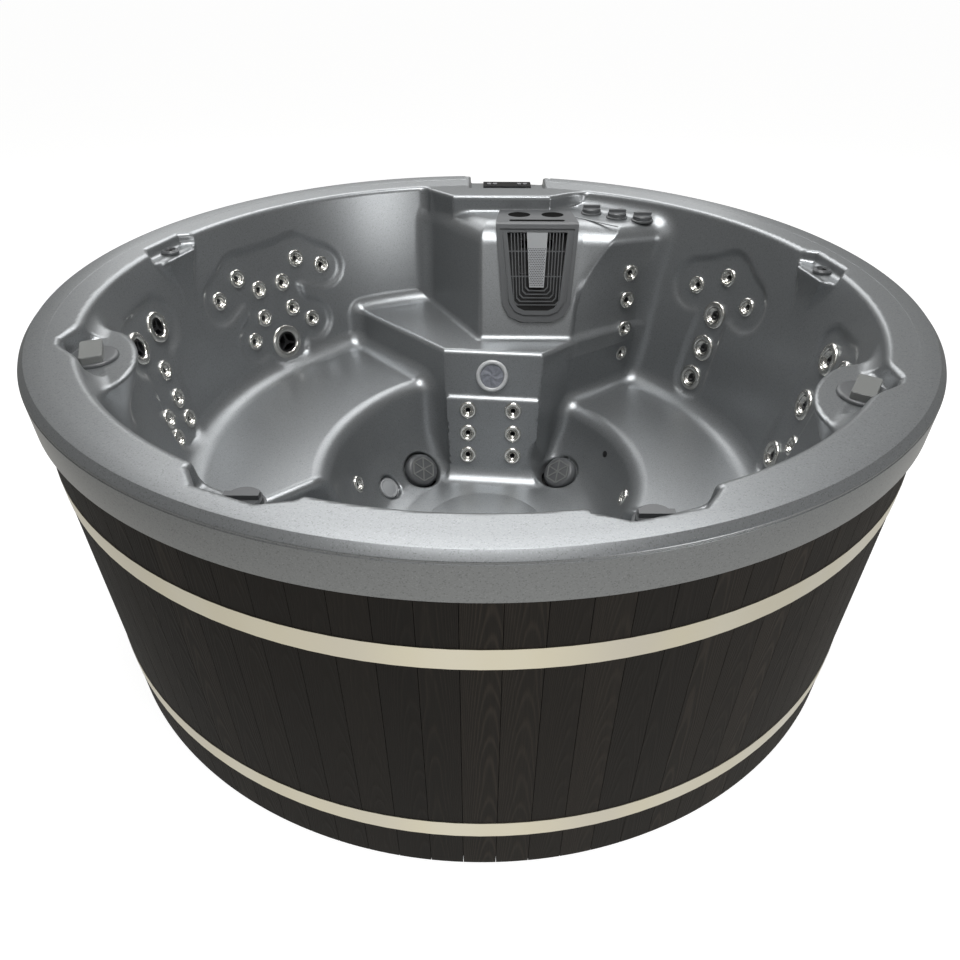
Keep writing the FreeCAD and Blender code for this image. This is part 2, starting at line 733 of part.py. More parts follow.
def make_grille():
    plate = slope_plate(grille_outline(0), 0, grille_thick)
    channel = slope_plate(grille_outline(channel_outer), grille_thick - channel_deep, grille_thick + 1)
    channel = channel.cut(slope_plate(grille_outline(channel_inner), -1, grille_thick + 2))
    window = slope_plate(grille_window(), -20, 40)
    frame = plate.cut([channel, window])
    strip_room = slope_plate(strip_corners, -1, 30)
    save("skimmer_grille", joined([frame] + grille_bars(window)).cut(strip_room))
    save("grille_strip", slope_plate(strip_corners, 2, 9))
    save("skimmer_cap", grille_cap())


def skimmer_opening():
    front = slope_plate(grille_outline(tray_inset + 5), -30, 6)
    hole_base = Vector(grille_middle, bucket_y, shelf_level - 30)
    round_hole = Part.makeCylinder(bucket_radius - bucket_skin, 60, hole_base)
    under_cap = box((0, lip_radius), (front_edge + 12, front_edge + cap_depth - 2),
                    (shelf_level - 30, shelf_level + 30))
    return [front, round_hole.common(under_cap)]


tray_inset = 12.0
tray_deep = 30.0
tray_clear = 3.0
bucket_y = front_edge + bucket_radius + 13
bucket_low = 330.0
bucket_high = shelf_level - shell_wall
bucket_skin = 4.0
throat_half = 52.0
throat_top = 40.0
throat_low = 150.0
weir_gap = 1.5
weir_deep = 38.0
weir_pin = 3.0


def throat_plate(spare, low, high):
    half = throat_half + spare
    top = throat_top - spare
    foot = throat_low + spare
    return slope_plate([(-half, top), (half, top), (half, foot), (-half, foot)], low, high)


def make_weir():
    """A flap on pins low in the throat, leaning in with the front."""
    half = throat_half - weir_gap
    axle_down = throat_low - weir_pin - weir_gap
    top = throat_top + 24
    leaf = slope_plate([(-half, top), (half, top), (half, axle_down), (-half, axle_down)], -weir_deep - 2,
                       -weir_deep + 2)
    pin_half = throat_half + bucket_skin / 2
    across = Vector(1, 0, 0)
    pin = Part.makeCylinder(weir_pin, 2 * pin_half, slope_point(-pin_half, axle_down, -weir_deep), across)
    hole_start = slope_point(-pin_half - turn_gap, axle_down, -weir_deep)
    holes = Part.makeCylinder(weir_pin + running_gap, 2 * (pin_half + turn_gap), hole_start, across)
    return joined([leaf, pin]), holes


def make_skimmer():
    middle = Vector(grille_middle, bucket_y, 0)
    can = Part.makeCylinder(bucket_radius, bucket_high - bucket_low, middle + Vector(0, 0, bucket_low))
    inner = Part.makeCylinder(bucket_radius - bucket_skin, bucket_high, middle + Vector(0, 0, bucket_low + 8))
    tray = slope_plate(grille_outline(tray_inset), -tray_deep, -shell_wall - tray_clear)
    tray_room = slope_plate(grille_outline(tray_inset + bucket_skin), -tray_deep + bucket_skin, 20)
    throat = throat_plate(bucket_skin, -120, -tray_deep + bucket_skin)
    mouth = throat_plate(0, -160, -tray_deep + bucket_skin)
    flange = ring(bucket_radius - bucket_skin, bucket_radius + 5, bucket_high - 6, bucket_high)
    flange.translate(middle)
    outlet = Part.makeCylinder(25, 60, middle + Vector(0, 0, bucket_low - 60))
    drain = Part.makeCylinder(20, 90, middle + Vector(0, 0, bucket_low - 70))
    weir, pin_holes = make_weir()
    bucket = can.fuse([tray, throat, outlet]).cut([inner, tray_room, mouth, drain, pin_holes])
    save("skimmer_bucket", bucket.fuse(flange).removeSplitter())
    save("weir_flap", weir)


def make_filter():
    low = bucket_low + 8
    high = low + 260
    base = Vector(grille_middle, bucket_y, 0)
    pleats = 48
    points = []
    for step in range(2 * pleats):
        reach = cartridge_radius - (0 if step % 2 else 8)
        spot = at(reach, 180.0 / pleats * step, 0)
        points.append((spot.x, spot.y))
    core = prism(points, low + 10, high - 10).cut(Part.makeCylinder(30, 400, Vector(0, 0, low)))
    core.translate(base)
    save("filter_media", core)
    ends = [ring(22, cartridge_radius + 3, low, low + 10), ring(22, cartridge_radius + 3, high - 10, high)]
    ends[1] = ends[1].fuse(ring(30, 36, high, high + 14)).removeSplitter()
    for end in ends:
        end.translate(base)
    save("filter_end_caps", ends)


# Control panel

panel_middle = 86.0 * spread
panel_y = 934.0 * spread
panel_half = 82.0
panel_deep = 30.0
panel_thick = 12.0
glass_half = 30.0
glass_deep = 20.0
glass_thick = 3.0
button_radius = 8.0
button_across = (-62, -42, 42, 62)


def panel_block(half, deep, low, high):
    return box((panel_middle - half, panel_middle + half), (panel_y - deep, panel_y + deep), (low, high))


def make_control_panel():
    top = notch_level + panel_thick
    case = panel_block(panel_half, panel_deep, notch_level, top)
    spots = [Vector(panel_middle + across, panel_y, top) for across in button_across]
    wells = [Part.makeCylinder(button_radius, 8, spot - Vector(0, 0, 6)) for spot in spots]
    glass_room = panel_block(glass_half, glass_deep, top - glass_thick, top + 1)
    save("control_panel", case.cut(wells + [glass_room]))
    save("display_window", panel_block(glass_half, glass_deep, top - glass_thick, top))
    for index, spot in enumerate(spots):
        button = Part.makeCylinder(button_radius - turn_gap, 5.5, spot - Vector(0, 0, 3.5))
        save("panel_button_%d" % (index + 1), button)


# Skirt, hoops and frame

def make_skirt():
    step = 360.0 / stave_count
    gap = math.degrees(stave_joint / skirt_radius)
    profile = [(stave_inner, stave_low), (skirt_radius, stave_low), (skirt_radius, stave_high),
               (stave_inner, stave_high)]
    corners = [Vector(radius, 0, level) for radius, level in profile]
    face = Part.Face(Part.makePolygon(corners + corners[:1]))
    stave = face.revolve(Vector(0, 0, 0), Vector(0, 0, 1), step - gap)
    staves = []
    for index in range(stave_count):
        copy = stave.copy()
        copy.rotate(Vector(0, 0, 0), Vector(0, 0, 1), step * index + gap / 2)
        staves.append(copy)
    save("skirt_staves", staves)


lug_across = 26.0
lug_half = 8.0
lug_out = 6.0
bolt_out = 2.9
bolt_long = 76.0


def make_hoops():
    bolts = []
    outer = skirt_radius + hoop_thick
    side_way = Vector(1, 0, 0)
    for name, level in hoop_levels.items():
        low = level - hoop_height / 2
        strap = ring(skirt_radius, outer, low, low + hoop_height)
        keep_out = Part.makeCylinder(skirt_radius, hoop_height, Vector(0, 0, low))
        lugs = []
        for side in (-1, 1):
            middle = side * lug_across
            lug = box((middle - lug_half, middle + lug_half), (skirt_radius - 1, outer + lug_out),
                      (level - 12, level + 12))
            hole_start = Vector(middle - 2 * lug_half, outer + bolt_out, level)
            hole = Part.makeCylinder(2.3, 4 * lug_half, hole_start, side_way)
            lugs.append(lug.cut([keep_out, hole]))
        save(name + "_hoop", joined([strap] + lugs))
        shank = Part.makeCylinder(2, bolt_long, Vector(-bolt_long / 2, outer + bolt_out, level), side_way)
        heads = [Part.makeCylinder(3, 4, Vector(start, outer + bolt_out, level), side_way)
                 for start in (-lug_across - lug_half - 4, lug_across + lug_half)]
        bolts.append(joined([shank] + heads))
    save("hoop_bolts", bolts)


pan_thick = 18.0
ring_deep = 40.0
ring_tall = 44.0
ring_gap = 0.3
ring_drop = 72.0
post_count = 12
post_deep = 36.0
post_half = 20.0
support_radius = 200.0


def make_frame():
    save("base_pan", Part.makeCylinder(stave_inner - 4, pan_thick))
    inner = stave_inner - ring_deep
    upper_ring_level = stave_high - ring_drop
    frame = [ring(inner, stave_inner - ring_gap, low, low + ring_tall) for low in (pan_thick, upper_ring_level)]
    for index in range(post_count):
        post = box((inner, inner + post_deep), (-post_half, post_half), (pan_thick + ring_tall, upper_ring_level))
        post.rotate(Vector(0, 0, 0), Vector(0, 0, 1), 360.0 / post_count * (index + 0.5))
        frame.append(post)
    save("cabinet_frame", frame)
    block_base = Vector(foot_centre[0], foot_centre[1], pan_thick)
    save("floor_support", Part.makeCylinder(support_radius, floor_level - shell_wall - pan_thick, block_base))


# Pump, heater and controls under the seats

pump_x = -680.0 * spread
pump_y = -40.0 * spread
pump_axis = 120.0
motor_radius = 72.0
motor_long = 230.0
volute_radius = 92.0
volute_long = 78.0
volute_wall = 12.0
union_radius = 30.0
union_bore = 24.0
shaft_radius = 8.0
shaft_in_motor = 20.0


def make_pump():
    along = Vector(0, 1, 0)
    start = Vector(pump_x, pump_y, pump_axis)
    motor = Part.makeCylinder(motor_radius, motor_long, start - along * motor_long, along)
    feet = []
    foot_top = pump_axis - motor_radius / 2
    for shift in (30, 160):
        foot_y = pump_y - motor_long + shift
        feet.append(box((pump_x - 60, pump_x + 60), (foot_y, foot_y + 30), (pan_thick, foot_top)))
    shaft_start = start - along * shaft_in_motor
    shaft_long = shaft_in_motor + 20
    shaft_room = Part.makeCylinder(shaft_radius + running_gap, shaft_long, shaft_start, along)
    save("pump_motor", joined([motor] + feet).cut(shaft_room))
    volute = Part.makeCylinder(volute_radius, volute_long, start, along)
    room_long = volute_long - 2 * volute_wall
    room = Part.makeCylinder(volute_radius - volute_wall, room_long, start + along * volute_wall, along)
    inlet = Part.makeCylinder(union_radius, 40, start + along * volute_long, along)
    eye = Part.makeCylinder(union_bore, 80, start + along * (volute_long - 20), along)
    throat = start + along * (volute_long / 2)
    outlet = Part.makeCylinder(union_radius, 70, throat + Vector(0, 0, volute_radius - 20))
    throw = Part.makeCylinder(union_bore, 100, throat + Vector(0, 0, volute_radius - 40))
    save("pump_wet_end", volute.fuse([inlet, outlet]).cut([room, eye, throw, shaft_room]).removeSplitter())
    wheel = Part.makeCylinder(volute_radius - 22, 10, start + along * 18, along)
    vanes = []
    for turn in range(6):
        vane = box((pump_x + 14, pump_x + volute_radius - 26), (pump_y + 28, pump_y + 50),
                   (pump_axis - 3, pump_axis + 3))
        vane.rotate(start, along, 60 * turn)
        vanes.append(vane)
    shaft = Part.makeCylinder(shaft_radius, shaft_long, shaft_start, along)
    save("pump_impeller", joined([wheel, shaft] + vanes))


pipe_radius = 25.0
pipe_bore = 21.0
heater_radius = 34.0
heater_long = 240.0
heater_start = Vector(-470 * spread, 300 * spread, 62)
heater_way = Vector(-0.6, 0.8, 0)


def make_heater():
    body = Part.makeCylinder(heater_radius, heater_long, heater_start, heater_way)
    feet = []
    for share in (0.25, 0.75):
        middle = heater_start + heater_way * (heater_long * share)
        foot = box((-24, 24), (-10, 10), (pan_thick, heater_start.z))
        foot.rotate(Vector(0, 0, 0), Vector(0, 0, 1), 37)
        foot.translate(Vector(middle.x, middle.y, 0))
        feet.append(foot)
    bore = Part.makeCylinder(pipe_bore, heater_long + 20, heater_start - heater_way * 10, heater_way)
    save("heater_tube", joined([body] + feet).cut(bore))


def pipe(points):
    """A hollow pipe with round elbows through a few points."""
    def rods(radius):
        solids = []
        for start, end in zip(points, points[1:]):
            solids.append(Part.makeCylinder(radius, (end - start).Length, start, end - start))
        return joined(solids + [Part.makeSphere(radius, corner) for corner in points[1:-1]])
    return rods(pipe_radius).cut(rods(pipe_bore))


manifold_ring = 884.0 * spread
suction_route = [Vector(*point) for point in spread_out([(-300, 760, 200), (-620, 400, 200)])]
manifold_level = 300.0


def make_pipes():
    outlet = Vector(pump_x, pump_y + volute_long / 2, pump_axis + volute_radius + 50)
    before = heater_start - heater_way * 40
    pressure = pipe([outlet, outlet + Vector(0, 0, 25), Vector(before.x, before.y, outlet.z + 25), before,
                     heater_start])
    skimmer_end = Vector(grille_middle, bucket_y, bucket_low - 60)
    inlet = Vector(pump_x, pump_y + volute_long + 40, pump_axis)
    bend = Vector(pump_x, 300 * spread, pump_axis)
    suction = pipe([skimmer_end, skimmer_end - Vector(0, 0, 70)] + suction_route + [bend, inlet])
    after = heater_start + heater_way * heater_long
    turn = after + heater_way * 40
    out = Vector(turn.x, turn.y, 0).normalize()
    rise = Vector(turn.x, turn.y, manifold_level)
    hoop = Part.makeTorus(manifold_ring, pipe_bore, Vector(0, 0, manifold_level))
    feed = pipe([after, turn, rise, out * (manifold_ring - pipe_bore - 1) + Vector(0, 0, manifold_level)])
    save("pipework", [pressure, suction, joined([hoop, feed.cut(hoop)])])


box_x = 640.0 * spread
box_y = 60.0 * spread


def make_control_box():
    case = box((box_x - 110, box_x + 110), (box_y - 160, box_y + 160), (pan_thick, pan_thick + 110))
    room = box((box_x - 105, box_x + 105), (box_y - 155, box_y + 155), (pan_thick + 5, pan_thick + 120))
    save("control_box", case.cut(room))
    save("control_box_lid", box((box_x - 112, box_x + 112), (box_y - 162, box_y + 162),
                                (pan_thick + 110, pan_thick + 116)))
    gland = lathe([(5, 0), (16, 0), (16, 6), (12, 10), (12, 26), (5, 26)])
    save("cable_gland", pointed(gland, Vector(box_x + 110, box_y, pan_thick + 55), Vector(1, 0, 0)))


def main():
    os.makedirs("parts", exist_ok=True)
    blank = make_shell_blank()
    jets = find_jets(blank)
    fittings = find_foot_fittings(blank)
    cuts = []
    for kind in jets:
        tool = seat_and_hole(jet_sizes[kind], jet_stem(kind), jet_reach)
        cuts += [pointed(tool, *spot) for spot in jets[kind]]
    cuts.append(pointed(seat_and_hole(lens_radius, lens_radius - lens_seat, 60), *fittings["light"]))
    cuts += [pointed(seat_and_hole(suction_radius, suction_stem, 40), *spot) for spot in fittings["suction"]]
    cuts.append(pointed(seat_and_hole(cap_radius, cap_stem, 20), *fittings["cap"]))
    cuts.append(pointed(seat_and_hole(plug_radius, plug_stem, 30), *fittings["sensor"]))
    shell = blank.cut(cuts + valve_holes() + skimmer_opening())
    moulding = sectors(shell)
    save("acrylic_shell", moulding)
    make_jets(jets)
    make_valves()
    make_foot_fittings(fittings)
    make_grille()
    make_skimmer()
    make_filter()
    make_control_panel()
    make_skirt()
    make_hoops()
    make_frame()
    make_pump()
    make_heater()
    make_pipes()
    make_control_box()
    print("shell", shell.isValid(), len(shell.Solids), len(shell.Faces), round(shell.Volume / 1e6, 2))
    print("sectors", len(moulding), round(sum(piece.Volume for piece in moulding) / 1e6, 2))


main()
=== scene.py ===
import json
import math

import bpy
import numpy as np
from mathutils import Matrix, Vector


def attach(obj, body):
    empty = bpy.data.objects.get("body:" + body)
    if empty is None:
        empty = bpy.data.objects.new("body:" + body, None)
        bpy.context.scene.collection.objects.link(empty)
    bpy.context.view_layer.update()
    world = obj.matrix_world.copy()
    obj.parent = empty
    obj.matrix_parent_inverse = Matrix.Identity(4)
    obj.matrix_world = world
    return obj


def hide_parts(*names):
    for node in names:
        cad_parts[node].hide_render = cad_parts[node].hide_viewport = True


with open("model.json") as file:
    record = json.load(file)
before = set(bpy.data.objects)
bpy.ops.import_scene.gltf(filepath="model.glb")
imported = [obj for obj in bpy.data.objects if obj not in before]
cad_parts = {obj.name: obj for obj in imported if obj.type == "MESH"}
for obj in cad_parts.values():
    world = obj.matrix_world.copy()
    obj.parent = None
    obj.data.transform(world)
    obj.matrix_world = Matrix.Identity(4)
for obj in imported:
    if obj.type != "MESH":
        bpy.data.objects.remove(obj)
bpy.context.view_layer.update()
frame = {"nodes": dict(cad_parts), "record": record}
nodes = frame["nodes"]
scene = bpy.context.scene
scene.view_settings.view_transform = "Standard"

# Sizes of the moulded shell, in millimetres, as in the part's source
MM = 0.001
LIP_RADIUS = 996.0
TUB_HEIGHT = 825.0
LIP_CHAMFER = 14.0
SHOULDER = LIP_RADIUS - LIP_CHAMFER
OPENING_RADIUS = 890.0
RIM_FALL = 10.0
RIM_INNER = TUB_HEIGHT - RIM_FALL
RIM_SLOPE = RIM_FALL / (SHOULDER - OPENING_RADIUS)
FASCIA_LOW = 739.0
LIP_LINE = 1.5
SKIN = 6.0
WALL_DRAFT = 0.2
FLOOR_LEVEL = 60.0
FRONT_BENCH_LEVEL = 180.0
RIGHT_SEAT_LEVEL = 250.0
LEFT_SEAT_LEVEL = 335.0
STEP_LEVEL = 450.0
LEDGE_LEVEL = 316.0
SHELF_LEVEL = 765.0
POCKET_LEVEL = 770.0
DECK_JET_LEVEL = 787.0
NOTCH_LEVEL = 798.0

# Plan outlines of the moulded forms, as X, Y
STEP_LOW = [(-470, 640), (-100, 233), (172, 209), (232, 335), (505, 585), (720, 740), (720, 960), (-470, 960)]
STEP_HIGH = [(-430, 690), (-121, 376), (194, 349), (312, 453), (590, 628), (720, 720), (720, 960),
             (-430, 960)]
STEP_FOOT = 30.0
LEDGE_LOW = [(-98, 223), (170, 199), (175, 300), (-105, 320)]
LEDGE_HIGH = [(-112, 320), (185, 294), (190, 360), (-115, 380)]
COLUMN_LEVELS = (400.0, 600.0, SHELF_LEVEL)
COLUMN_OUTLINES = [
    [(-215, 830), (-6, 426), (290, 426), (314, 442), (575, 620), (700, 700), (700, 960), (-215, 960)],
    [(-196, 838), (-6, 530), (302, 530), (328, 536), (613, 640), (710, 710), (710, 960), (-196, 960)],
    [(-180, 845), (-6, 615), (330, 615), (443, 575), (640, 655), (720, 720), (720, 960), (-180, 960)]]
DECK = [(-173, 838), (-96, 757), (222, 757), (319, 815), (319, 960), (-173, 960)]
RIGHT_SEAT = [(100, -100), (370, -170), (750, -430), (950, -430), (950, 760), (100, 760)]
FRONT_BENCH = [(0, -60), (-420, -160), (-720, -410), (-950, -600), (-950, -950), (950, -950), (950, -600),
               (750, -430), (370, -170)]
NOTCH = [(-40, 868), (212, 868), (212, 1020), (-40, 1020)]
SHELF_BEAD = [(243, 750), (425, 598)]
BEAD_HALF = 3.5

# Footwell: an outline of arcs that grows from its floor to its top
FOOT_CENTRE = (5.0, -20.0)
FOOT_ARCS = [((-163, 384), (-389, 101), (-405, -140)), ((-405, -140), (0, -450), (401, -185)),
             ((401, -185), (461, 9), (279, 417))]
FOOT_FLOOR_SCALE, FOOT_COVE_SCALE, FOOT_TOP_SCALE = 0.74, 0.86, 1.10
FOOT_LEAST_SCALE = 0.3
FOOT_COVE = 50.0
FOOT_MEAN_RADIUS = 400.0
FLOOR_CIRCLE = (11.0, -50.0)
FLOOR_CIRCLE_RADIUS = 191.0
FLOOR_CIRCLE_HEIGHT = 5.0

# Rim pockets: azimuths in degrees, outlines as outward, sideways
KNOB_POCKET_AZIMUTHS = (-113.5, -73.6)
DIVERTER_AZIMUTHS = (-157.5, -33.0)
DECK_JET_AZIMUTHS = (162.5, 9.3)
KNOB_POCKET = [(850, -118), (905, -110), (946, -60), (946, 60), (905, 110), (850, 118)]
DIVERTER_POCKET = [(840, -105), (885, -105), (932, -18), (932, 18), (885, 105), (840, 105)]
DECK_JET_POCKET = [(850, -100), (892, -100), (924, -70), (924, 70), (892, 100), (850, 100)]
DECK_LEDGE_HIGH = [(858, -58), (900, -96), (900, 96), (858, 58)]
DECK_LEDGE_LOW = [(868, -25), (900, -50), (900, 50), (868, 25)]
DECK_LEDGE_DEPTH = 90.0
DIVERTER_REACH, DIVERTER_TOP, DIVERTER_FOOT, DIVERTER_DEPTH = 872.0, 88.0, 28.0, 150.0
DIVERTER_STRETCH = 0.55

# Recessed wall panels: runs from azimuth, level to azimuth, level, with a half width
PANELS = [
    [(155.6, 612, 149.5, 650, 58), (149.5, 650, 134.4, 655, 58), (134.4, 655, 128.7, 614, 58),
     (142.5, 580, 142.0, 490, 100), (146.5, 480, 150.2, 458, 58), (138.0, 480, 134.0, 458, 58),
     (142.0, 440, 142.0, 416, 70)],
    [(173.5, 652, 182.5, 648, 62), (178.5, 620, 181.0, 420, 66)],
    [(37.5, 612, 29.5, 655, 68), (29.5, 655, 23.2, 612, 68), (30.8, 560, 31.0, 335, 52)],
    [(356.0, 650, 348.5, 658, 58), (355.0, 620, 355.5, 345, 62)]]
PANEL_RECESS = 8.0
PANEL_SLOPE = 1.7
PANEL_TOP_SLOPE = 2.2

# Skimmer front
GRILLE_MIDDLE = 174.0
GRILLE_TOP_HALF, GRILLE_LOW_HALF, GRILLE_DROP = 131.0, 103.0, 300.0
FRONT_EDGE, FRONT_FOOT = 615.0, 426.0
FRONT_TILT = math.atan((FRONT_EDGE - FRONT_FOOT) / (SHELF_LEVEL - COLUMN_LEVELS[0]))
WINDOW_MARGIN, WINDOW_CORNER, WINDOW_DEPTH = 17.0, 55.0, 40.0
SKIMMER_HOLE_HALF, SKIMMER_HOLE_FROM, SKIMMER_HOLE_TO = 118.0, 5.0, 310.0
SKIMMER_HOLE_FRONT, SKIMMER_HOLE_BACK = -9.0, -80.0

# Roundings of the moulding
SEAT_FILLET = 55.0
SEAT_PLAN_ROUND = 40.0
COVE_ROUND = 45.0
STEP_EDGE = 13.0
BENCH_EDGE = 26.0
FOOT_EDGE = 36.0
LEDGE_JOIN, COLUMN_JOIN, DECK_JOIN = 6.0, 16.0, 12.0
PANEL_EDGE, PANEL_JOIN = 4.0, 25.0
RIM_EDGE, LIP_EDGE = 10.0, 2.5
SEAT_EDGE, SEAT_ROUND = 6.0, 3.0
POCKET_EDGE, POCKET_ROUND = 9.0, 12.0
NOTCH_EDGE, NOTCH_ROUND = 4.0, 5.0
WINDOW_EDGE = 2.0
COLUMN_ROLL, COLUMN_CORNER = 56.0, 22.0
BACK_BLEND = 42.0
DIVERTER_BLEND, DIVERTER_ROUND = 34.0, 8.0
DECK_BLEND, DECK_ROUND = 15.0, 6.0

# Cosines of leaning sides, which make a plan distance a true one
STEP_LEAN, DECK_LEAN, DIVERTER_LEAN = 0.95, 0.9, 0.85

# Where each form is worked out: widest turn, least reach and least level, or least Y and least level
PANEL_ZONE, DECK_ZONE, POCKET_ZONE = (24, 690, 220), (14, 760, 620), (16, 720, 700)
NOTCH_ZONE, WINDOW_ZONE = (780, 700), (380, 420)
BACK_FROM = 120

# Sampling of the moulding, and the ring of the rim that is turned outside the control notch
CELL = 7.0
MARGIN = 12.0
COARSE = 4
BATCH = 400000
CLOSE_SHARE, FLAT_SHARE, LEAST_SLOPE = 1.25, 0.12, 0.2
MEET_MOVE, SETTLE_MOVE = 0.7, 0.6
FAR = 1e4
TINY = 1e-9
TURNED_FROM = 948.0
NOTCH_AZIMUTHS = (75.5, 94.0)
FASCIA_FROM, OUTSIDE_FROM = 940.0, 945.0
FASCIA_SNAP = 0.7
CHAMFER_LIFT = 0.5
UNDER_RING = 0.4

# Fittings: jet rims as outer radius, bore; cups as radius, top, foot; bowls as mouth, hole, top, foot
JET_RIMS = {"small": (28.0, 14.9), "middle": (42.0, 23.9), "large": (56.0, 32.8)}
JET_CUPS = {"middle": (24.5, 2.0, -34.0), "large": (33.5, 2.0, -34.0)}
SMALL_BOWL, SMALL_THROAT = (14.7, 7.4, 4.0, -4.6), (7.8, -4.2, -14.0)
MIDDLE_BOWL, PUPIL = (23.2, 12.5, 4.2, -5.0), (6.0, -4.0, -12.0)
FITTING_HOLES = {"small_jet_rims": 19, "middle_jet_rims": 29, "large_jet_rims": 40, "deck_jet_rings": 14}
HOLE_REACH = 60.0
JET_RIM_HEIGHT = 7.0
LENS_HEIGHT, LENS_RADIUS = 8.0, 37.5
SUCTION_HEIGHT, SUCTION_SEAT = 30.0, 62.0
CAP_HEIGHT, CAP_SEAT = 10.0, 40.0
EYE_DROP = 2.5
# The strip's perforation is painted shade: rows of thin dark dots in place of holes
STRIP_ROWS, STRIP_DOTS_FROM = 22, 74.0
STRIP_TOP, STRIP_LENGTH, STRIP_HALF, STRIP_TAPER, STRIP_MARGIN = 24.0, 168.0, 33.0, 10.0, 3.5
DOT_PITCH, DOT_RADIUS, DOT_SIDES = 5.3, 1.7, 8
RIB_REACH, RIB_HALF, RIB_LOW, RIB_HIGH, RIB_STEP = 40.0, 2.0, 25.0, 30.8, 0.05
FINGER_HOLE, FINGER_PLACE = (36.0, 27.0), (54.0, 84.0)
CAP_SLOT, CAP_SLOT_CORNER, CAP_SLOT_PLACE = (88.0, 9.0), 8.0, 20.0
# The cap's holes are painted shade: thin black plates from this far under the cap's top to this far over it
HOLE_SINK, HOLE_RISE, HOLE_EDGE = 1.0, 0.4, 0.2
BAR_SIZE, BAR_CORNER, BAR_LOW, BAR_HIGH, BAR_EDGE = (43.0, 22.0), 6.0, 7.5, 23.0, 1.5

# Turned profiles of fittings, as radius, level
EYE = [(5.2, -12), (5.6, -3.4), (7.5, -2.2), (10.5, -3.0), (13.0, -5.4), (13.0, -7), (5.2, -13)]
LENS_RING = [(37, 3), (40, 6.4), (46, 7), (50, 4), (51, 1), (51, 0), (37, 0)]
SUCTION_DRUM = [(0.5, 29.5), (1.5, 29.5), (40, 29), (47, 27.5), (52, 23), (54.5, 16), (55, 8), (55, 1),
                (0.5, 1)]
CAP_DISC = [(0.5, 8), (1.5, 8), (23, 8), (25, 7), (27, 8.4), (30, 9.6), (33, 7), (34, 3), (34, 0), (0.5, 0)]
DIVERTER_DISH = [(0.5, 8), (1.5, 8), (43, 8), (48, 7), (50.5, 4.5), (50.5, 0.2), (0.5, 0.2)]


# Distance fields: negative inside

def join(a, b, radius):
    """Both shapes together, with a fillet between them."""
    inner = np.hypot(np.maximum(radius - a, 0), np.maximum(radius - b, 0))
    return np.maximum(radius, np.minimum(a, b)) - inner


def meet(a, b, radius):
    """Only what the shapes share, with its edge rounded."""
    return -join(-a, -b, radius)


def unit(vectors):
    """Vectors made one long."""
    return vectors / np.maximum(np.linalg.norm(vectors, axis=-1, keepdims=True), TINY)


def outline_distance(x, y, corners):
    """Signed distance to a plan outline; its corners may change with the level."""
    best = np.full(x.shape, np.inf)
    side = np.ones(x.shape)
    for (ax, ay), (bx, by) in zip(corners, corners[1:] + corners[:1]):
        ex, ey = bx - ax, by - ay
        px, py = x - ax, y - ay
        share = np.clip((px * ex + py * ey) / (ex * ex + ey * ey), 0, 1)
        best = np.minimum(best, (px - ex * share) ** 2 + (py - ey * share) ** 2)
        above, below, left = y >= ay, y < by, ex * py > ey * px
        side = np.where((above & below & left) | ~(above | below | left), -side, side)
    return side * np.sqrt(best)


def lofted(x, y, z, low, high, low_corners, high_corners):
    """Distance to an outline that changes evenly between two levels."""
    share = np.clip((z - low) / (high - low), 0, 1)
    corners = [(ax + (bx - ax) * share, ay + (by - ay) * share)
               for (ax, ay), (bx, by) in zip(low_corners, high_corners)]
    return outline_distance(x, y, corners)


def inset(corners, depth):
    """The corners of an outline moved inward by a depth; they may change with the level."""
    moved = []
    before, after = corners[-1:] + corners[:-1], corners[1:] + corners[:1]
    for (ax, ay), (bx, by), (cx, cy) in zip(before, corners, after):
        first, second = np.hypot(bx - ax, by - ay), np.hypot(cx - bx, cy - by)
        nx, ny = (ay - by) / first, (bx - ax) / first
        mx, my = (by - cy) / second, (cx - bx) / second
        share = depth / (1 + nx * mx + ny * my)
        moved.append((bx + (nx + mx) * share, by + (ny + my) * share))
    return moved


def wall_radius(z):
    return OPENING_RADIUS - WALL_DRAFT * (RIM_INNER - z)


def rim_level(radius):
    return RIM_INNER + np.maximum(radius - OPENING_RADIUS, 0) * RIM_SLOPE


def turned(corners, azimuth):
    """An outline of outward, sideways points set at an azimuth."""
    c, s = math.cos(math.radians(azimuth)), math.sin(math.radians(azimuth))
    return [(a * c - b * s, a * s + b * c) for a, b in corners]


def in_zone(points, middle, zone):
    """True near an azimuth, past a reach and over a level."""
    x, y, z = points
    turn, reach, low = zone
    azimuth = np.degrees(np.arctan2(y, x))
    return (np.abs((azimuth - middle + 180) % 360 - 180) < turn) & (np.hypot(x, y) > reach) & (z > low)


def arc_points(start, middle, end, count):
    """Points along the circle through three points, without the last."""
    (ax, ay), (bx, by), (cx, cy) = start, middle, end
    turn = 2 * (ax * (by - cy) + bx * (cy - ay) + cx * (ay - by))
    aa, bb, cc = ax * ax + ay * ay, bx * bx + by * by, cx * cx + cy * cy
    ux = (aa * (by - cy) + bb * (cy - ay) + cc * (ay - by)) / turn
    uy = (aa * (cx - bx) + bb * (ax - cx) + cc * (bx - ax)) / turn
    radius = math.hypot(ax - ux, ay - uy)
    first, mid, last = (math.atan2(p[1] - uy, p[0] - ux) for p in (start, middle, end))
    sweep = (last - first) % math.tau
    if (mid - first) % math.tau > sweep:
        sweep -= math.tau
    angles = [first + sweep * i / count for i in range(count)]
    return [(ux + radius * math.cos(angle), uy + radius * math.sin(angle)) for angle in angles]


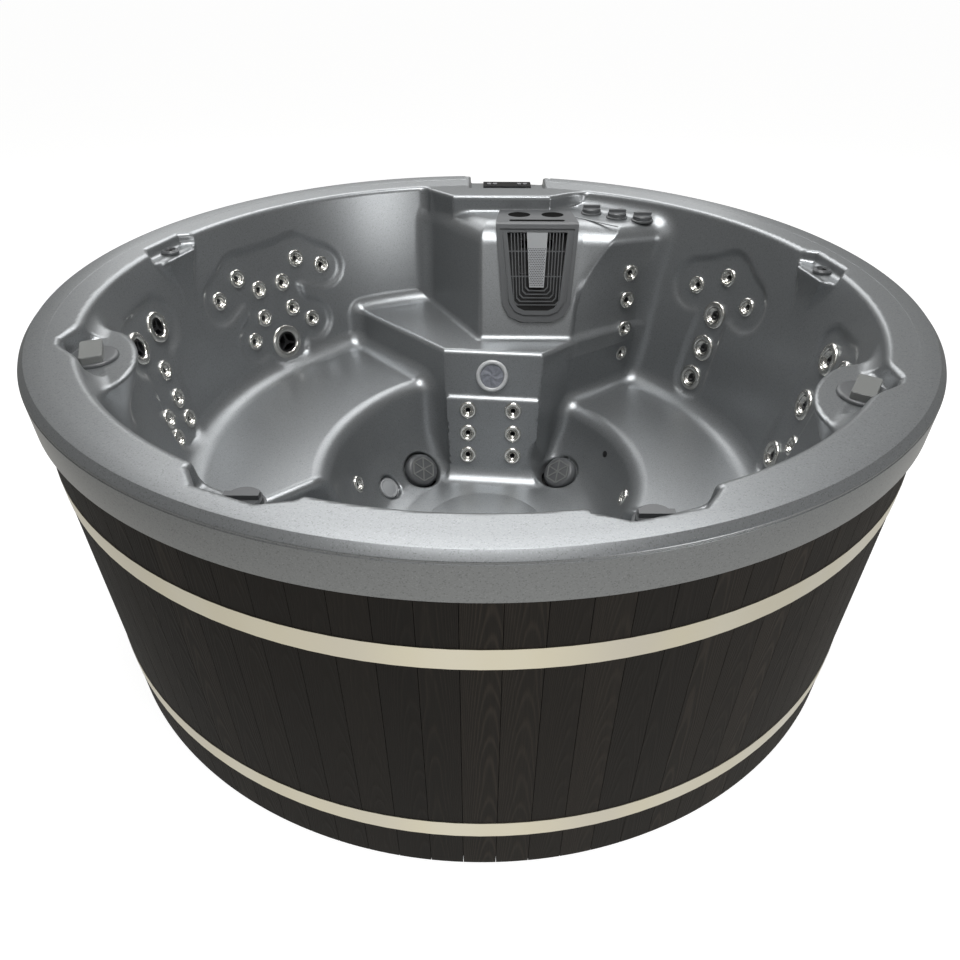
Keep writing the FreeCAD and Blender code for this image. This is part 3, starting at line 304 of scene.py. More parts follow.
class FootOutline:
    """The footwell's plan outline as a small distance table, read at any scale."""
    STEP = 5.0
    HALF = 700.0
    ARC_POINTS = 20

    def __init__(self):
        corners = [p for arc in FOOT_ARCS for p in arc_points(*arc, self.ARC_POINTS)] + [FOOT_ARCS[-1][2]]
        corners = [(x - FOOT_CENTRE[0], y - FOOT_CENTRE[1]) for x, y in corners]
        side = np.arange(-self.HALF, self.HALF + 1, self.STEP)
        x, y = np.meshgrid(side, side, indexing="ij")
        self.table = outline_distance(x, y, corners)

    def cell(self, value, centre, scale):
        """Row number and share within the row."""
        spot = np.clip(((value - centre) / scale + self.HALF) / self.STEP, 0, len(self.table) - 1.001)
        row = spot.astype(int)
        return row, spot - row

    def read(self, x, y, scale):
        i, u = self.cell(x, FOOT_CENTRE[0], scale)
        j, v = self.cell(y, FOOT_CENTRE[1], scale)
        t = self.table
        low = t[i, j] * (1 - u) + t[i + 1, j] * u
        high = t[i, j + 1] * (1 - u) + t[i + 1, j + 1] * u
        return scale * (low * (1 - v) + high * v)


foot_outline = FootOutline()


def footwell(x, y, z):
    """The foot space: a leaning wall, a cove and a floor."""
    cove_top = FLOOR_LEVEL + FOOT_COVE
    sides = []
    for low, high, low_scale, high_scale in ((cove_top, STEP_LEVEL, FOOT_COVE_SCALE, FOOT_TOP_SCALE),
                                             (FLOOR_LEVEL, cove_top, FOOT_FLOOR_SCALE, FOOT_COVE_SCALE)):
        growth = (high_scale - low_scale) / (high - low)
        scale = np.maximum(low_scale + growth * (z - low), FOOT_LEAST_SCALE)
        sides.append(foot_outline.read(x, y, scale) / math.hypot(1, FOOT_MEAN_RADIUS * growth))
    return meet(meet(*sides, COVE_ROUND), FLOOR_LEVEL - z, COVE_ROUND)


def seats(x, y, z):
    """The space over the seats, without the round wall."""
    space = LEFT_SEAT_LEVEL - z
    right = meet(RIGHT_SEAT_LEVEL - z, outline_distance(x, y, RIGHT_SEAT), SEAT_PLAN_ROUND)
    front = meet(FRONT_BENCH_LEVEL - z, outline_distance(x, y, FRONT_BENCH), SEAT_PLAN_ROUND)
    space = join(space, join(right, front, BENCH_EDGE), BENCH_EDGE)
    return join(space, footwell(x, y, z), FOOT_EDGE)


def skimmer_column(x, y, z):
    """The skimmer column, bowed smoothly through its three outlines."""
    low, waist, high = COLUMN_LEVELS
    level = np.clip(z, low, high)
    a = (level - waist) * (level - high) / ((low - waist) * (low - high))
    b = (level - low) * (level - high) / ((waist - low) * (waist - high))
    c = (level - low) * (level - waist) / ((high - low) * (high - waist))
    corners = [(p[0] * a + q[0] * b + r[0] * c, p[1] * a + q[1] * b + r[1] * c)
               for p, q, r in zip(*COLUMN_OUTLINES)]
    round_sided = outline_distance(x, y, inset(corners, COLUMN_CORNER)) - COLUMN_CORNER
    return round_sided * math.cos(FRONT_TILT)


def back_masses(x, y, z):
    """Step, light ledge, skimmer column and the deck behind it."""
    step = lofted(x, y, z, STEP_FOOT, STEP_LEVEL, STEP_LOW, STEP_HIGH) * STEP_LEAN
    ledge = lofted(x, y, z, STEP_FOOT, LEDGE_LEVEL, LEDGE_LOW, LEDGE_HIGH) * STEP_LEAN
    step = meet(step, z - STEP_LEVEL, STEP_EDGE)
    ledge = meet(ledge, z - LEDGE_LEVEL, STEP_EDGE)
    pillar = meet(skimmer_column(x, y, z), z - SHELF_LEVEL, COLUMN_ROLL)
    mass = join(join(step, ledge, LEDGE_JOIN), pillar, COLUMN_JOIN)
    return join(mass, outline_distance(x, y, DECK), DECK_JOIN)


def panel_middle(runs):
    return sum(run[0] + run[2] for run in runs) / (2 * len(runs))


def run_distance(across, z, start, end, half):
    """Distance to a round-ended run on the wall."""
    ex, ey = end[0] - start[0], end[1] - start[1]
    px, py = across - start[0], z - start[1]
    share = np.clip((px * ex + py * ey) / (ex * ex + ey * ey), 0, 1)
    return np.hypot(px - ex * share, py - ey * share) - half


def wall_panel(x, y, z, wall, runs):
    """A shallow recess in the round wall, made of round-ended runs; its top edge slopes more."""
    middle = math.radians(panel_middle(runs))
    across = -x * math.sin(middle) + y * math.cos(middle)
    rise = np.clip(PANEL_RECESS - wall, 0, PANEL_RECESS)
    floor_shape = np.full(x.shape, FAR)
    top_shape = np.full(x.shape, FAR)
    for first, first_level, second, second_level, half in runs:
        start, end = ((wall_radius(level) * math.sin(math.radians(azimuth) - middle), level)
                      for azimuth, level in ((first, first_level), (second, second_level)))
        floor_shape = join(floor_shape, run_distance(across, z, start, end, half), PANEL_JOIN)
        lifted = z - rise * PANEL_TOP_SLOPE
        top_shape = join(top_shape, run_distance(across, lifted, start, end, half), PANEL_JOIN)
    shape = np.minimum((floor_shape - rise * PANEL_SLOPE) / math.hypot(1, PANEL_SLOPE),
                       top_shape / math.hypot(1, PANEL_TOP_SLOPE))
    return meet(shape, wall - PANEL_RECESS, PANEL_EDGE)


def only_where(keep, field, points, *more):
    """The field on some of the points, far outside elsewhere."""
    value = np.full(keep.shape, FAR)
    if keep.any():
        value[keep] = field(*[p[keep] for p in points], *more)
    return value


def panelled_wall(x, y, z):
    """The round wall with its recessed panels."""
    wall = (np.hypot(x, y) - wall_radius(z)) / math.hypot(1, WALL_DRAFT)
    side = wall
    for runs in PANELS:
        near = in_zone((x, y, z), panel_middle(runs), PANEL_ZONE) & (z < POCKET_LEVEL)
        side = join(side, only_where(near, wall_panel, (x, y, z, wall), runs), PANEL_EDGE)
    return side


def seat_space(x, y, z, origin, axis, radius):
    """The room over a flat round seat of a fitting."""
    away = np.stack([x, y, z], 1) - origin
    along = away @ axis
    side = np.linalg.norm(away - np.outer(along, axis), axis=1) - radius
    return meet(side, -along, SEAT_ROUND)


def diverter_ledge(x, y, z, azimuth):
    """A leaning oval ledge under a diverter valve."""
    c, s = math.cos(math.radians(azimuth)), math.sin(math.radians(azimuth))
    outward, along = x * c + y * s - DIVERTER_REACH, (y * c - x * s) * DIVERTER_STRETCH
    rise = (z - POCKET_LEVEL + DIVERTER_DEPTH) / DIVERTER_DEPTH
    side = np.hypot(outward, along) - (DIVERTER_FOOT + (DIVERTER_TOP - DIVERTER_FOOT) * rise)
    return meet(side * DIVERTER_LEAN, z - POCKET_LEVEL, DIVERTER_ROUND)


def deck_ledge(x, y, z, azimuth):
    """A leaning ledge under a deck jet."""
    side = lofted(x, y, z, DECK_JET_LEVEL - DECK_LEDGE_DEPTH, DECK_JET_LEVEL,
                  turned(DECK_LEDGE_LOW, azimuth), turned(DECK_LEDGE_HIGH, azimuth))
    return meet(side * DECK_LEAN, z - DECK_JET_LEVEL, DECK_ROUND)


def hollow(x, y, z, corners, level, margin, radius):
    """The space over a level inside an outline, which is drawn in by a margin."""
    return meet(outline_distance(x, y, corners) + margin, level - z, radius)


def slope_coordinates(x, y, z):
    """Across, down and out on the sloped skimmer front."""
    back, drop = FRONT_EDGE - y, SHELF_LEVEL - z
    down = back * math.sin(FRONT_TILT) + drop * math.cos(FRONT_TILT)
    out = back * math.cos(FRONT_TILT) - drop * math.sin(FRONT_TILT)
    return x - GRILLE_MIDDLE, down, out


def grille_window():
    """The opening behind the grille, as across, down."""
    top, low = GRILLE_TOP_HALF - WINDOW_MARGIN, GRILLE_LOW_HALF - WINDOW_MARGIN
    drop, corner = GRILLE_DROP - WINDOW_MARGIN, WINDOW_CORNER
    right = [(low - corner, drop), (low - corner * 0.3, drop - corner * 0.3), (low + 6, drop - corner),
             (top, WINDOW_MARGIN)]
    return [(-a, b) for a, b in reversed(right)] + right


POCKETS = [(turned(corners, azimuth), level, azimuth) for corners, level, azimuths in (
    (KNOB_POCKET, POCKET_LEVEL, KNOB_POCKET_AZIMUTHS),
    (DIVERTER_POCKET, POCKET_LEVEL, DIVERTER_AZIMUTHS),
    (DECK_JET_POCKET, DECK_JET_LEVEL, DECK_JET_AZIMUTHS)) for azimuth in azimuths]


def shell_distance(points):
    """The moulding: a block without the bath's space, each form worked out only near its place."""
    x, y, z = here = points.T
    air = meet(panelled_wall(x, y, z), seats(x, y, z), SEAT_FILLET)
    air = meet(air, -only_where(y > BACK_FROM, back_masses, here), BACK_BLEND)
    for origin, axis, radius in fitting_seats:
        near = np.abs(points - origin).max(1) < radius + HOLE_REACH
        air = join(air, only_where(near, seat_space, here, origin, axis, radius), SEAT_EDGE)
    for angle in DIVERTER_AZIMUTHS:
        air = meet(air, -diverter_ledge(x, y, z, angle), DIVERTER_BLEND)
    for angle in DECK_JET_AZIMUTHS:
        near = in_zone(here, angle, DECK_ZONE)
        air = meet(air, -only_where(near, deck_ledge, here, angle), DECK_BLEND)
    for corners, level, angle in POCKETS:
        near = in_zone(here, angle, POCKET_ZONE)
        pocket = only_where(near, hollow, here, corners, level, POCKET_ROUND, POCKET_ROUND)
        air = join(air, pocket, POCKET_EDGE)
    near = (y > NOTCH_ZONE[0]) & (z > NOTCH_ZONE[1])
    air = join(air, only_where(near, hollow, here, NOTCH, NOTCH_LEVEL, 0, NOTCH_ROUND), NOTCH_EDGE)
    near = (y > WINDOW_ZONE[0]) & (z > WINDOW_ZONE[1])
    on_front = slope_coordinates(x, y, z)
    window = only_where(near, hollow, on_front, grille_window(), -WINDOW_DEPTH, 0, WINDOW_EDGE)
    air = join(air, window, WINDOW_EDGE)
    reach = np.hypot(x, y)
    solid = meet(z - rim_level(reach), -air, RIM_EDGE)
    solid = meet(solid, reach - LIP_RADIUS, LIP_EDGE)
    return meet(solid, (reach - SHOULDER + z - TUB_HEIGHT) * math.sqrt(0.5), LIP_EDGE)


def shell_gradient(points, step=0.4):
    slope = np.empty_like(points)
    for axis in range(3):
        shift = np.zeros(3)
        shift[axis] = step
        slope[:, axis] = (shell_distance(points + shift) - shell_distance(points - shift)) / (2 * step)
    return slope


# Surface of the distance field

def sampled_field():
    """The field on a grid, worked out only near the surface."""
    low = np.array([-LIP_RADIUS - MARGIN, -LIP_RADIUS - MARGIN, FLOOR_LEVEL - SKIN - MARGIN])
    high = np.array([LIP_RADIUS + MARGIN, LIP_RADIUS + MARGIN, TUB_HEIGHT + MARGIN])
    block_size = CELL * COARSE
    blocks = np.ceil((high - low) / block_size).astype(int)
    axes = [low[i] + (np.arange(blocks[i]) + 0.5) * block_size for i in range(3)]
    centres = np.stack(np.meshgrid(*axes, indexing="ij"), -1).reshape(-1, 3)
    close = np.abs(shell_distance(centres)) < block_size * CLOSE_SHARE
    outside = np.hypot(centres[:, 0], centres[:, 1]) > OUTSIDE_FROM
    close &= ~(outside & (centres[:, 2] < FASCIA_LOW - 2 * block_size))
    wanted = np.zeros(blocks * COARSE + 1, bool)
    for spot in np.argwhere(close.reshape(blocks)) * COARSE:
        wanted[tuple(slice(i, i + COARSE + 1) for i in spot)] = True
    spots = np.argwhere(wanted)
    field = np.full(wanted.shape, np.nan)
    for chunk in np.array_split(spots, max(1, len(spots) // BATCH)):
        field[tuple(chunk.T)] = shell_distance(low + chunk * CELL)
    return field, low


def surface_crossings(field, low):
    """Where the surface crosses the grid's edges, and the ring of four cells around each crossing."""
    shape = np.array(field.shape)
    spots, rings = [], []
    for axis in range(3):
        first, second = [slice(None)] * 3, [slice(None)] * 3
        first[axis], second[axis] = slice(0, -1), slice(1, None)
        a, b = field[tuple(first)], field[tuple(second)]
        edges = np.argwhere((a < 0) != (b < 0))
        va, vb = a[tuple(edges.T)], b[tuple(edges.T)]
        u, v = (axis + 1) % 3, (axis + 2) % 3
        good = np.isfinite(va) & np.isfinite(vb) & (edges[:, u] > 0) & (edges[:, v] > 0)
        good &= (edges[:, u] < shape[u] - 1) & (edges[:, v] < shape[v] - 1)
        edges, va, vb = edges[good], va[good], vb[good]
        spot = edges.astype(float)
        spot[:, axis] += va / (va - vb)
        ring = []
        for du, dv in ((1, 1), (0, 1), (0, 0), (1, 0)):
            cell = edges.copy()
            cell[:, u] -= du
            cell[:, v] -= dv
            ring.append(np.ravel_multi_index(cell.T, shape))
        ring = np.stack(ring, 1)
        ring[va >= 0] = ring[va >= 0][:, ::-1]
        spots.append(spot)
        rings.append(ring)
    return low + CELL * np.concatenate(spots), np.concatenate(rings)


def limited(moves, longest):
    """Moves cut to a longest length."""
    length = np.linalg.norm(moves, axis=1, keepdims=True)
    return moves * np.minimum(1, longest / np.maximum(length, TINY))


def surface_mesh(field, low):
    """One point in each cell that the surface crosses, set where the cell's tangent planes meet."""
    crossings, rings = surface_crossings(field, low)
    cells, quads = np.unique(rings, return_inverse=True)
    quads = quads.reshape(-1, 4)
    ways = unit(shell_gradient(crossings))

    def gathered(values):
        columns = [np.bincount(quads.ravel(), np.repeat(column, 4), len(cells)) for column in values.T]
        return np.stack(columns, 1)

    middle = gathered(crossings) / gathered(np.ones((len(crossings), 1)))
    planes = np.stack([gathered(ways[:, i:i + 1] * ways) for i in range(3)], 1)
    pull = gathered(ways * (crossings * ways).sum(1, keepdims=True)) - (planes @ middle[:, :, None])[:, :, 0]
    sizes, basis = np.linalg.eigh(planes)
    strength = np.where(sizes > FLAT_SHARE * sizes[:, -1:], 1 / np.maximum(sizes, TINY), 0)
    shift = (basis @ (strength[:, :, None] * (basis.transpose(0, 2, 1) @ pull[:, :, None])))[:, :, 0]
    return middle + limited(shift, CELL * MEET_MOVE), quads


def settle(points):
    """The points moved onto the exact surface."""
    slope = shell_gradient(points)
    steepness = np.maximum((slope ** 2).sum(1), LEAST_SLOPE)
    return points - limited(slope * (shell_distance(points) / steepness)[:, None], CELL * SETTLE_MOVE)


def islands(node):
    """The separate solids of a node's mesh, as arrays of points in millimetres."""
    mesh = nodes[node].data
    points = np.empty(len(mesh.vertices) * 3)
    mesh.vertices.foreach_get("co", points)
    points = points.reshape(-1, 3) / MM
    keys = {}
    same = np.array([keys.setdefault(tuple(p), len(keys)) for p in np.round(points, 2)])
    parent = np.arange(len(keys))

    def root(i):
        while parent[i] != i:
            parent[i] = parent[parent[i]]
            i = parent[i]
        return i

    for edge in mesh.edges:
        a, b = (root(same[v]) for v in edge.vertices)
        parent[a] = b
    label = np.array([root(i) for i in same])
    return [points[label == value] for value in np.unique(label)]


def turning_axis(points):
    """Middle and axis of a turned piece."""
    middle = points.mean(0)
    values, ways = np.linalg.eigh(np.cov((points - middle).T))
    odd = 0 if values[1] - values[0] > values[2] - values[1] else 2
    return middle, ways[:, odd]


def fitting_holes(points):
    """True where a point lies under a jet or a round fitting, where the shell has its hole."""
    hidden = np.zeros(len(points), bool)
    for node, radius in FITTING_HOLES.items():
        for island in islands(node):
            middle, axis = turning_axis(island)
            away = points - middle
            along = away @ axis
            beside = np.linalg.norm(away - np.outer(along, axis), axis=1)
            hidden |= (beside < radius) & (np.abs(along) < HOLE_REACH)
    across, down, out = slope_coordinates(*points.T)
    in_window = (np.abs(across) < SKIMMER_HOLE_HALF) & (down > SKIMMER_HOLE_FROM) & (down < SKIMMER_HOLE_TO)
    return hidden | (in_window & (out < SKIMMER_HOLE_FRONT) & (out > SKIMMER_HOLE_BACK))


def moulded_surface():
    """The field's surface as points, facings and faces, a thin skin with closed edges."""
    points, quads = surface_mesh(*sampled_field())
    points = settle(points)
    middle = points[quads].mean(1)
    reach = np.hypot(middle[:, 0], middle[:, 1])
    azimuth = np.degrees(np.arctan2(middle[:, 1], middle[:, 0]))
    in_notch = (azimuth > NOTCH_AZIMUTHS[0]) & (azimuth < NOTCH_AZIMUTHS[1])
    keep = (reach < TURNED_FROM + CELL) | (in_notch & (middle[:, 2] > FASCIA_LOW))
    keep &= ~((reach > FASCIA_FROM) & (middle[:, 2] < FASCIA_LOW)) & ~fitting_holes(middle)
    quads = quads[keep]
    used = np.unique(quads)
    number = np.full(len(points), -1)
    number[used] = np.arange(len(used))
    points, quads = points[used], number[quads]
    reach = np.hypot(points[:, 0], points[:, 1])
    edge = (reach > FASCIA_FROM) & (points[:, 2] < FASCIA_LOW + CELL * FASCIA_SNAP)
    points[edge, 2] = FASCIA_LOW
    ways = unit(shell_gradient(points))
    azimuth = np.degrees(np.arctan2(points[:, 1], points[:, 0]))
    beside_notch = (azimuth < NOTCH_AZIMUTHS[0] + 1) | (azimuth > NOTCH_AZIMUTHS[1] - 1)
    under = (reach > TURNED_FROM - 2) & beside_notch
    points[under] -= ways[under] * UNDER_RING
    loops = np.stack([quads, np.roll(quads, -1, 1)], 2).reshape(-1, 2).tolist()
    forward = set(map(tuple, loops))
    border = np.array([(a, b) for a, b in loops if (b, a) not in forward])
    count = len(points)
    walls = np.stack([border[:, 1], border[:, 0], border[:, 0] + count, border[:, 1] + count], 1)
    faces = np.concatenate([quads, quads[:, ::-1] + count, walls])
    return np.concatenate([points, points - ways * SKIN]), np.concatenate([ways, -ways]), faces


# Turned and flat-sided shapes, as points, facings and faces

def turned_ring(profile, steps, start=0.0, end=360.0, lifts=0.0):
    """A closed ring with a profile of radius, level, turned over azimuths; lifts tip its facings upward."""
    profile = np.array(profile)
    along = unit(np.roll(profile, -1, 0) - profile)
    mean = unit(along + np.roll(along, 1, 0))
    facing = unit(np.stack([-mean[:, 1], mean[:, 0] + lifts], 1))
    whole = end - start == 360
    angles = np.radians(np.linspace(start, end, steps + 1))[:-1 if whole else None, None]
    points, ways = (np.stack([np.cos(angles) * flat[:, 0], np.sin(angles) * flat[:, 0],
                              np.ones_like(angles) * flat[:, 1]], 2) for flat in (profile, facing))
    index = np.arange(points.shape[0] * len(profile)).reshape(-1, len(profile))
    ends = [] if whole else [index[0, ::-1].tolist(), index[-1].tolist()]
    here, there = (index, np.roll(index, -1, 0)) if whole else (index[:-1], index[1:])
    quads = np.stack([here, np.roll(here, -1, 1), np.roll(there, -1, 1), there], 2).reshape(-1, 4)
    return points.reshape(-1, 3), ways.reshape(-1, 3), quads.tolist() + ends


def soft_corner(before, corner, after, radius, steps=4):
    """A rounded corner of a profile."""
    b, c, a = (np.array(p, float) for p in (before, corner, after))
    first, second = unit(b - c), unit(a - c)
    half = math.acos(np.clip(first @ second, -1, 1)) / 2
    reach = radius / math.tan(half)
    middle = c + unit(first + second) * radius / math.sin(half)
    start, end = c + first * reach - middle, c + second * reach - middle
    turn = math.acos(np.clip(start @ end / radius ** 2, -1, 1))
    return [tuple(middle + (start * math.sin((1 - s) * turn) + end * math.sin(s * turn)) / math.sin(turn))
            for s in np.linspace(0, 1, steps + 1)]


def lip_ring():
    """The lip: rim top, chamfer, a thin line under it, fascia, and back up inside."""
    low_edge = TUB_HEIGHT - LIP_CHAMFER
    line, inside = LIP_RADIUS - LIP_LINE, LIP_RADIUS - SKIN
    start, beside = TURNED_FROM, TURNED_FROM + 0.05
    corners = [(start, rim_level(start)), (beside, rim_level(beside)), (SHOULDER, TUB_HEIGHT),
               (line, low_edge + LIP_LINE), (line, low_edge - LIP_LINE),
               (LIP_RADIUS, low_edge - LIP_LINE - 1), (LIP_RADIUS, FASCIA_LOW), (inside, FASCIA_LOW),
               (inside, low_edge - SKIN), (start, rim_level(start) - SKIN)]
    radii = (0, 0, 2.0, 3.0, 0.8, 0.6, 1.5, 1.5, 3.0, 0)
    profile = []
    for i, (corner, radius) in enumerate(zip(corners, radii)):
        if radius:
            profile += soft_corner(corners[i - 1], corner, corners[(i + 1) % len(corners)], radius)
        else:
            profile.append(corner)
        if corner == (SHOULDER, TUB_HEIGHT):
            chamfer = len(profile)
    lifts = np.zeros(len(profile))
    lifts[[chamfer - 1, chamfer]] = CHAMFER_LIFT
    return turned_ring(profile, 340, NOTCH_AZIMUTHS[1] - 0.5, NOTCH_AZIMUTHS[0] + 360.5, lifts)


def floor_disc():
    """A low round plate on the footwell's floor, with a softened edge."""
    low, high, radius = FLOOR_LEVEL - 2, FLOOR_LEVEL + FLOOR_CIRCLE_HEIGHT, FLOOR_CIRCLE_RADIUS
    profile = [(0.5, low), (radius, low)]
    profile += soft_corner((radius, low), (radius, high), (0.5, high), 3.2)
    profile += [(1.5, high), (0.5, high)]
    points, ways, faces = turned_ring(profile[::-1], 120)
    return points + np.array([*FLOOR_CIRCLE, 0]), ways, faces


def prism_faces(count, layers):
    """Faces of a closed stack of outlines with the same number of points."""
    faces = [tuple(reversed(range(count))), tuple(range(layers * count, (layers + 1) * count))]
    for low in range(0, layers * count, count):
        high = low + count
        faces += [(low + i, low + (i + 1) % count, high + (i + 1) % count, high + i) for i in range(count)]
    return faces


def bead(start, end, level, half, steps=9):
    """A thin half-round line on a level face."""
    start, end = np.array(start, float), np.array(end, float)
    along = unit(end - start)
    side = np.array([-along[1], along[0]])
    points, ways = [], []
    for spot in (start, end):
        for angle in np.linspace(0, math.pi, steps):
            flat = side * math.cos(angle)
            points.append((*(spot + flat * half), level + half * 0.7 * math.sin(angle)))
            ways.append((*flat, math.sin(angle)))
    return np.array(points), np.array(ways), prism_faces(steps, 1)


def stack(*layers):
    """A flat-sided part through plan outlines at rising levels."""
    points = [(*p, level) for outline, level in layers for p in outline]
    return np.array(points, float), None, prism_faces(len(layers[0][0]), len(layers) - 1)


def block(outline, low, high, edge):
    """A block on a plan outline, its top edge chamfered."""
    return stack((outline, low), (outline, high - edge), (inset(outline, edge), high))


def rib(start, end, half, low, high):
    """A straight rib between two plan points."""
    start, end = np.array(start, float), np.array(end, float)
    along = unit(end - start)
    side = np.array([-along[1], along[0]]) * half
    outline = [start - side, end - side, end + side, start + side]
    return stack((outline, low), (outline, high))


def round_box(half_x, half_y, corner, steps=4):
    """A plan rectangle with round corners, counter-clockwise."""
    outline = []
    for turn, (sx, sy) in enumerate(((1, 1), (-1, 1), (-1, -1), (1, -1))):
        for i in range(steps + 1):
            angle = math.pi / 2 * (turn + i / steps)
            outline.append((sx * (half_x - corner) + corner * math.cos(angle),
                            sy * (half_y - corner) + corner * math.sin(angle)))
    return outline


def ellipse(half_x, half_y, count=28):
    angles = [math.tau * i / count for i in range(count)]
    return [(half_x * math.cos(angle), half_y * math.sin(angle)) for angle in angles]


def bowl_profile(mouth, hole, high, low):
    """A dished ring between its mouth and its hole, 1.5 mm thick."""
    shares = np.linspace(0, 1, 6)
    top = [(hole + (mouth - hole) * s, low + (high - low) * s ** 2) for s in shares]
    return top + [(r, level - 1.5) for r, level in reversed(top)]


def dome_profile(outer, bore):
    """The rounded rim of a jet."""
    middle, half = (outer + bore) / 2, (outer - bore) / 2
    top = [(middle - half * math.cos(t), 0.8 + 6.4 * math.sin(t)) for t in np.linspace(0, math.pi, 11)]
    return top + [(outer, -1.0), (bore, -1.0)]


def cup_profile(radius, high, low):
    """A thin cup, open at its top."""
    return [(0.2, low), (radius - 1, low), (radius - 0.5, high), (radius, high), (radius, low - 1),
            (0.2, low - 1)]


def star_lens(radius, points=6):
    """A faceted round: ridges and valleys in two rings, closed underneath."""
    spots = [(0, 0, 4.6)]
    count = points * 2
    for reach, levels in ((0.42, (2.4, 4.4)), (1.0, (4.6, 2.2)), (1.0, (0.2, 0.2))):
        for i in range(count):
            angle = math.tau * i / count
            spots.append((radius * reach * math.cos(angle), radius * reach * math.sin(angle), levels[i % 2]))
    spots.append((0, 0, 0.2))
    faces = []
    for i in range(count):
        after = (i + 1) % count
        faces.append((0, 1 + i, 1 + after))
        for ring in (0, 1):
            a, b = 1 + ring * count, 1 + (ring + 1) * count
            faces += [(a + i, b + i, b + after), (a + i, b + after, a + after)]
        faces.append((len(spots) - 1, 1 + 2 * count + after, 1 + 2 * count + i))
    return np.array(spots, float), None, faces


def on_slope(across, down, out):
    """A point of the sloped skimmer front in the part's frame."""
    back = down * math.sin(FRONT_TILT) + out * math.cos(FRONT_TILT)
    drop = down * math.cos(FRONT_TILT) - out * math.sin(FRONT_TILT)
    return GRILLE_MIDDLE + across, FRONT_EDGE - back, SHELF_LEVEL - drop


def strip_hole_shade_dots():
    """The perforation of the pale strip as rows of small dark rounds set in its face: painted shade where the
    holes would show dark.
    """
    face = max(slope_coordinates(*(v.co / MM))[2] for v in nodes["grille_strip"].data.vertices)
    angles = [math.tau * i / DOT_SIDES for i in range(DOT_SIDES)]
    dots = []
    for row in range(STRIP_ROWS):
        down = STRIP_DOTS_FROM + row * DOT_PITCH
        half = STRIP_HALF - STRIP_TAPER * (down - STRIP_TOP) / STRIP_LENGTH - STRIP_MARGIN
        first = -half + (DOT_PITCH / 2 if row % 2 else 0)
        for place in range(int((half - first) / DOT_PITCH) + 1):
            across = first + place * DOT_PITCH
            points = [on_slope(across + DOT_RADIUS * math.cos(a), down - DOT_RADIUS * math.sin(a), out)
                      for out in (face - 0.4, face + 0.2) for a in angles]
            dots.append((np.array(points), None, prism_faces(DOT_SIDES, 1)))
    return dots


# Placing of shapes

def facing_axes(node, top):
    """Origin on the moulding and axis into the tub of each turned piece, whose top stands at a height."""
    spots = []
    for island in islands(node):
        middle, axis = turning_axis(island)
        if axis @ (np.array([0, 0, TUB_HEIGHT]) - middle) < 0:
            axis = -axis
        spots.append((middle + axis * (((island - middle) @ axis).max() - top), axis))
    return spots


def set_up(part, origin, axis):
    """A part stood on an axis."""
    points, ways, faces = part
    helper = np.array([0, 0, 1.0]) if abs(axis[2]) < 0.9 else np.array([1.0, 0, 0])
    first = unit(np.cross(helper, axis))
    turn = np.stack([first, np.cross(axis, first), axis])
    return points @ turn + origin, None if ways is None else ways @ turn, faces


def placed(part, origin, azimuth=0.0):
    """A part turned about the upright and moved."""
    points, ways, faces = part
    c, s = math.cos(math.radians(azimuth)), math.sin(math.radians(azimuth))
    turn = np.array([[c, s, 0], [-s, c, 0], [0, 0, 1]])
    return points @ turn + np.array(origin), None if ways is None else ways @ turn, faces


def new_piece(name, parts, look, body, replaced=()):
    """A piece from parts of points in millimetres, facings and faces; smooth where it has facings."""
    starts = np.cumsum([0] + [len(part[0]) for part in parts[:-1]])
    faces = [[int(i) + int(start) for i in face] for part, start in zip(parts, starts) for face in part[2]]
    mesh = bpy.data.meshes.new(name)
    mesh.from_pydata((np.concatenate([part[0] for part in parts]) * MM).tolist(), [], faces)
    mesh.update()
    if parts[0][1] is not None:
        mesh.polygons.foreach_set("use_smooth", [True] * len(mesh.polygons))
        mesh.normals_split_custom_set_from_vertices(np.concatenate([part[1] for part in parts]).tolist())
    mesh.materials.append(look)
    obj = bpy.data.objects.new(name, mesh)
    scene.collection.objects.link(obj)
    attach(obj, body)
    if replaced:
        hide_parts(*replaced)


# Materials

def new_material(name, roughness, metallic=0.0, coat=0.0):
    material = bpy.data.materials.new(name)
    material.use_nodes = True
    shader = material.node_tree.nodes["Principled BSDF"]
    shader.inputs["Roughness"].default_value = roughness
    shader.inputs["Metallic"].default_value = metallic
    shader.inputs["Coat Weight"].default_value = coat
    shader.inputs["Coat Roughness"].default_value = 0.2
    return material, material.node_tree, shader


def shades(tree, value, stops):
    """A colour ramp over a value: stops of place, colour."""
    ramp = tree.nodes.new("ShaderNodeValToRGB")
    while len(ramp.color_ramp.elements) < len(stops):
        ramp.color_ramp.elements.new(0.5)
    for element, (place, color) in zip(ramp.color_ramp.elements, stops):
        element.position = place
        element.color = (*color, 1)
    tree.links.new(value, ramp.inputs["Fac"])
    return ramp.outputs["Color"]


def noise(tree, scale, detail=3.0, stretch=None):
    """Noise over the object's own coordinates, stretched by a scale per axis."""
    where = tree.nodes.new("ShaderNodeTexCoord").outputs["Object"]
    if stretch:
        mapping = tree.nodes.new("ShaderNodeMapping")
        mapping.inputs["Scale"].default_value = stretch
        tree.links.new(where, mapping.inputs["Vector"])
        where = mapping.outputs["Vector"]
    texture = tree.nodes.new("ShaderNodeTexNoise")
    texture.inputs["Scale"].default_value = scale
    texture.inputs["Detail"].default_value = detail
    tree.links.new(where, texture.inputs["Vector"])
    return texture.outputs["Fac"]


def scaled(color, factor):
    return tuple(min(1.0, c * factor) for c in color)


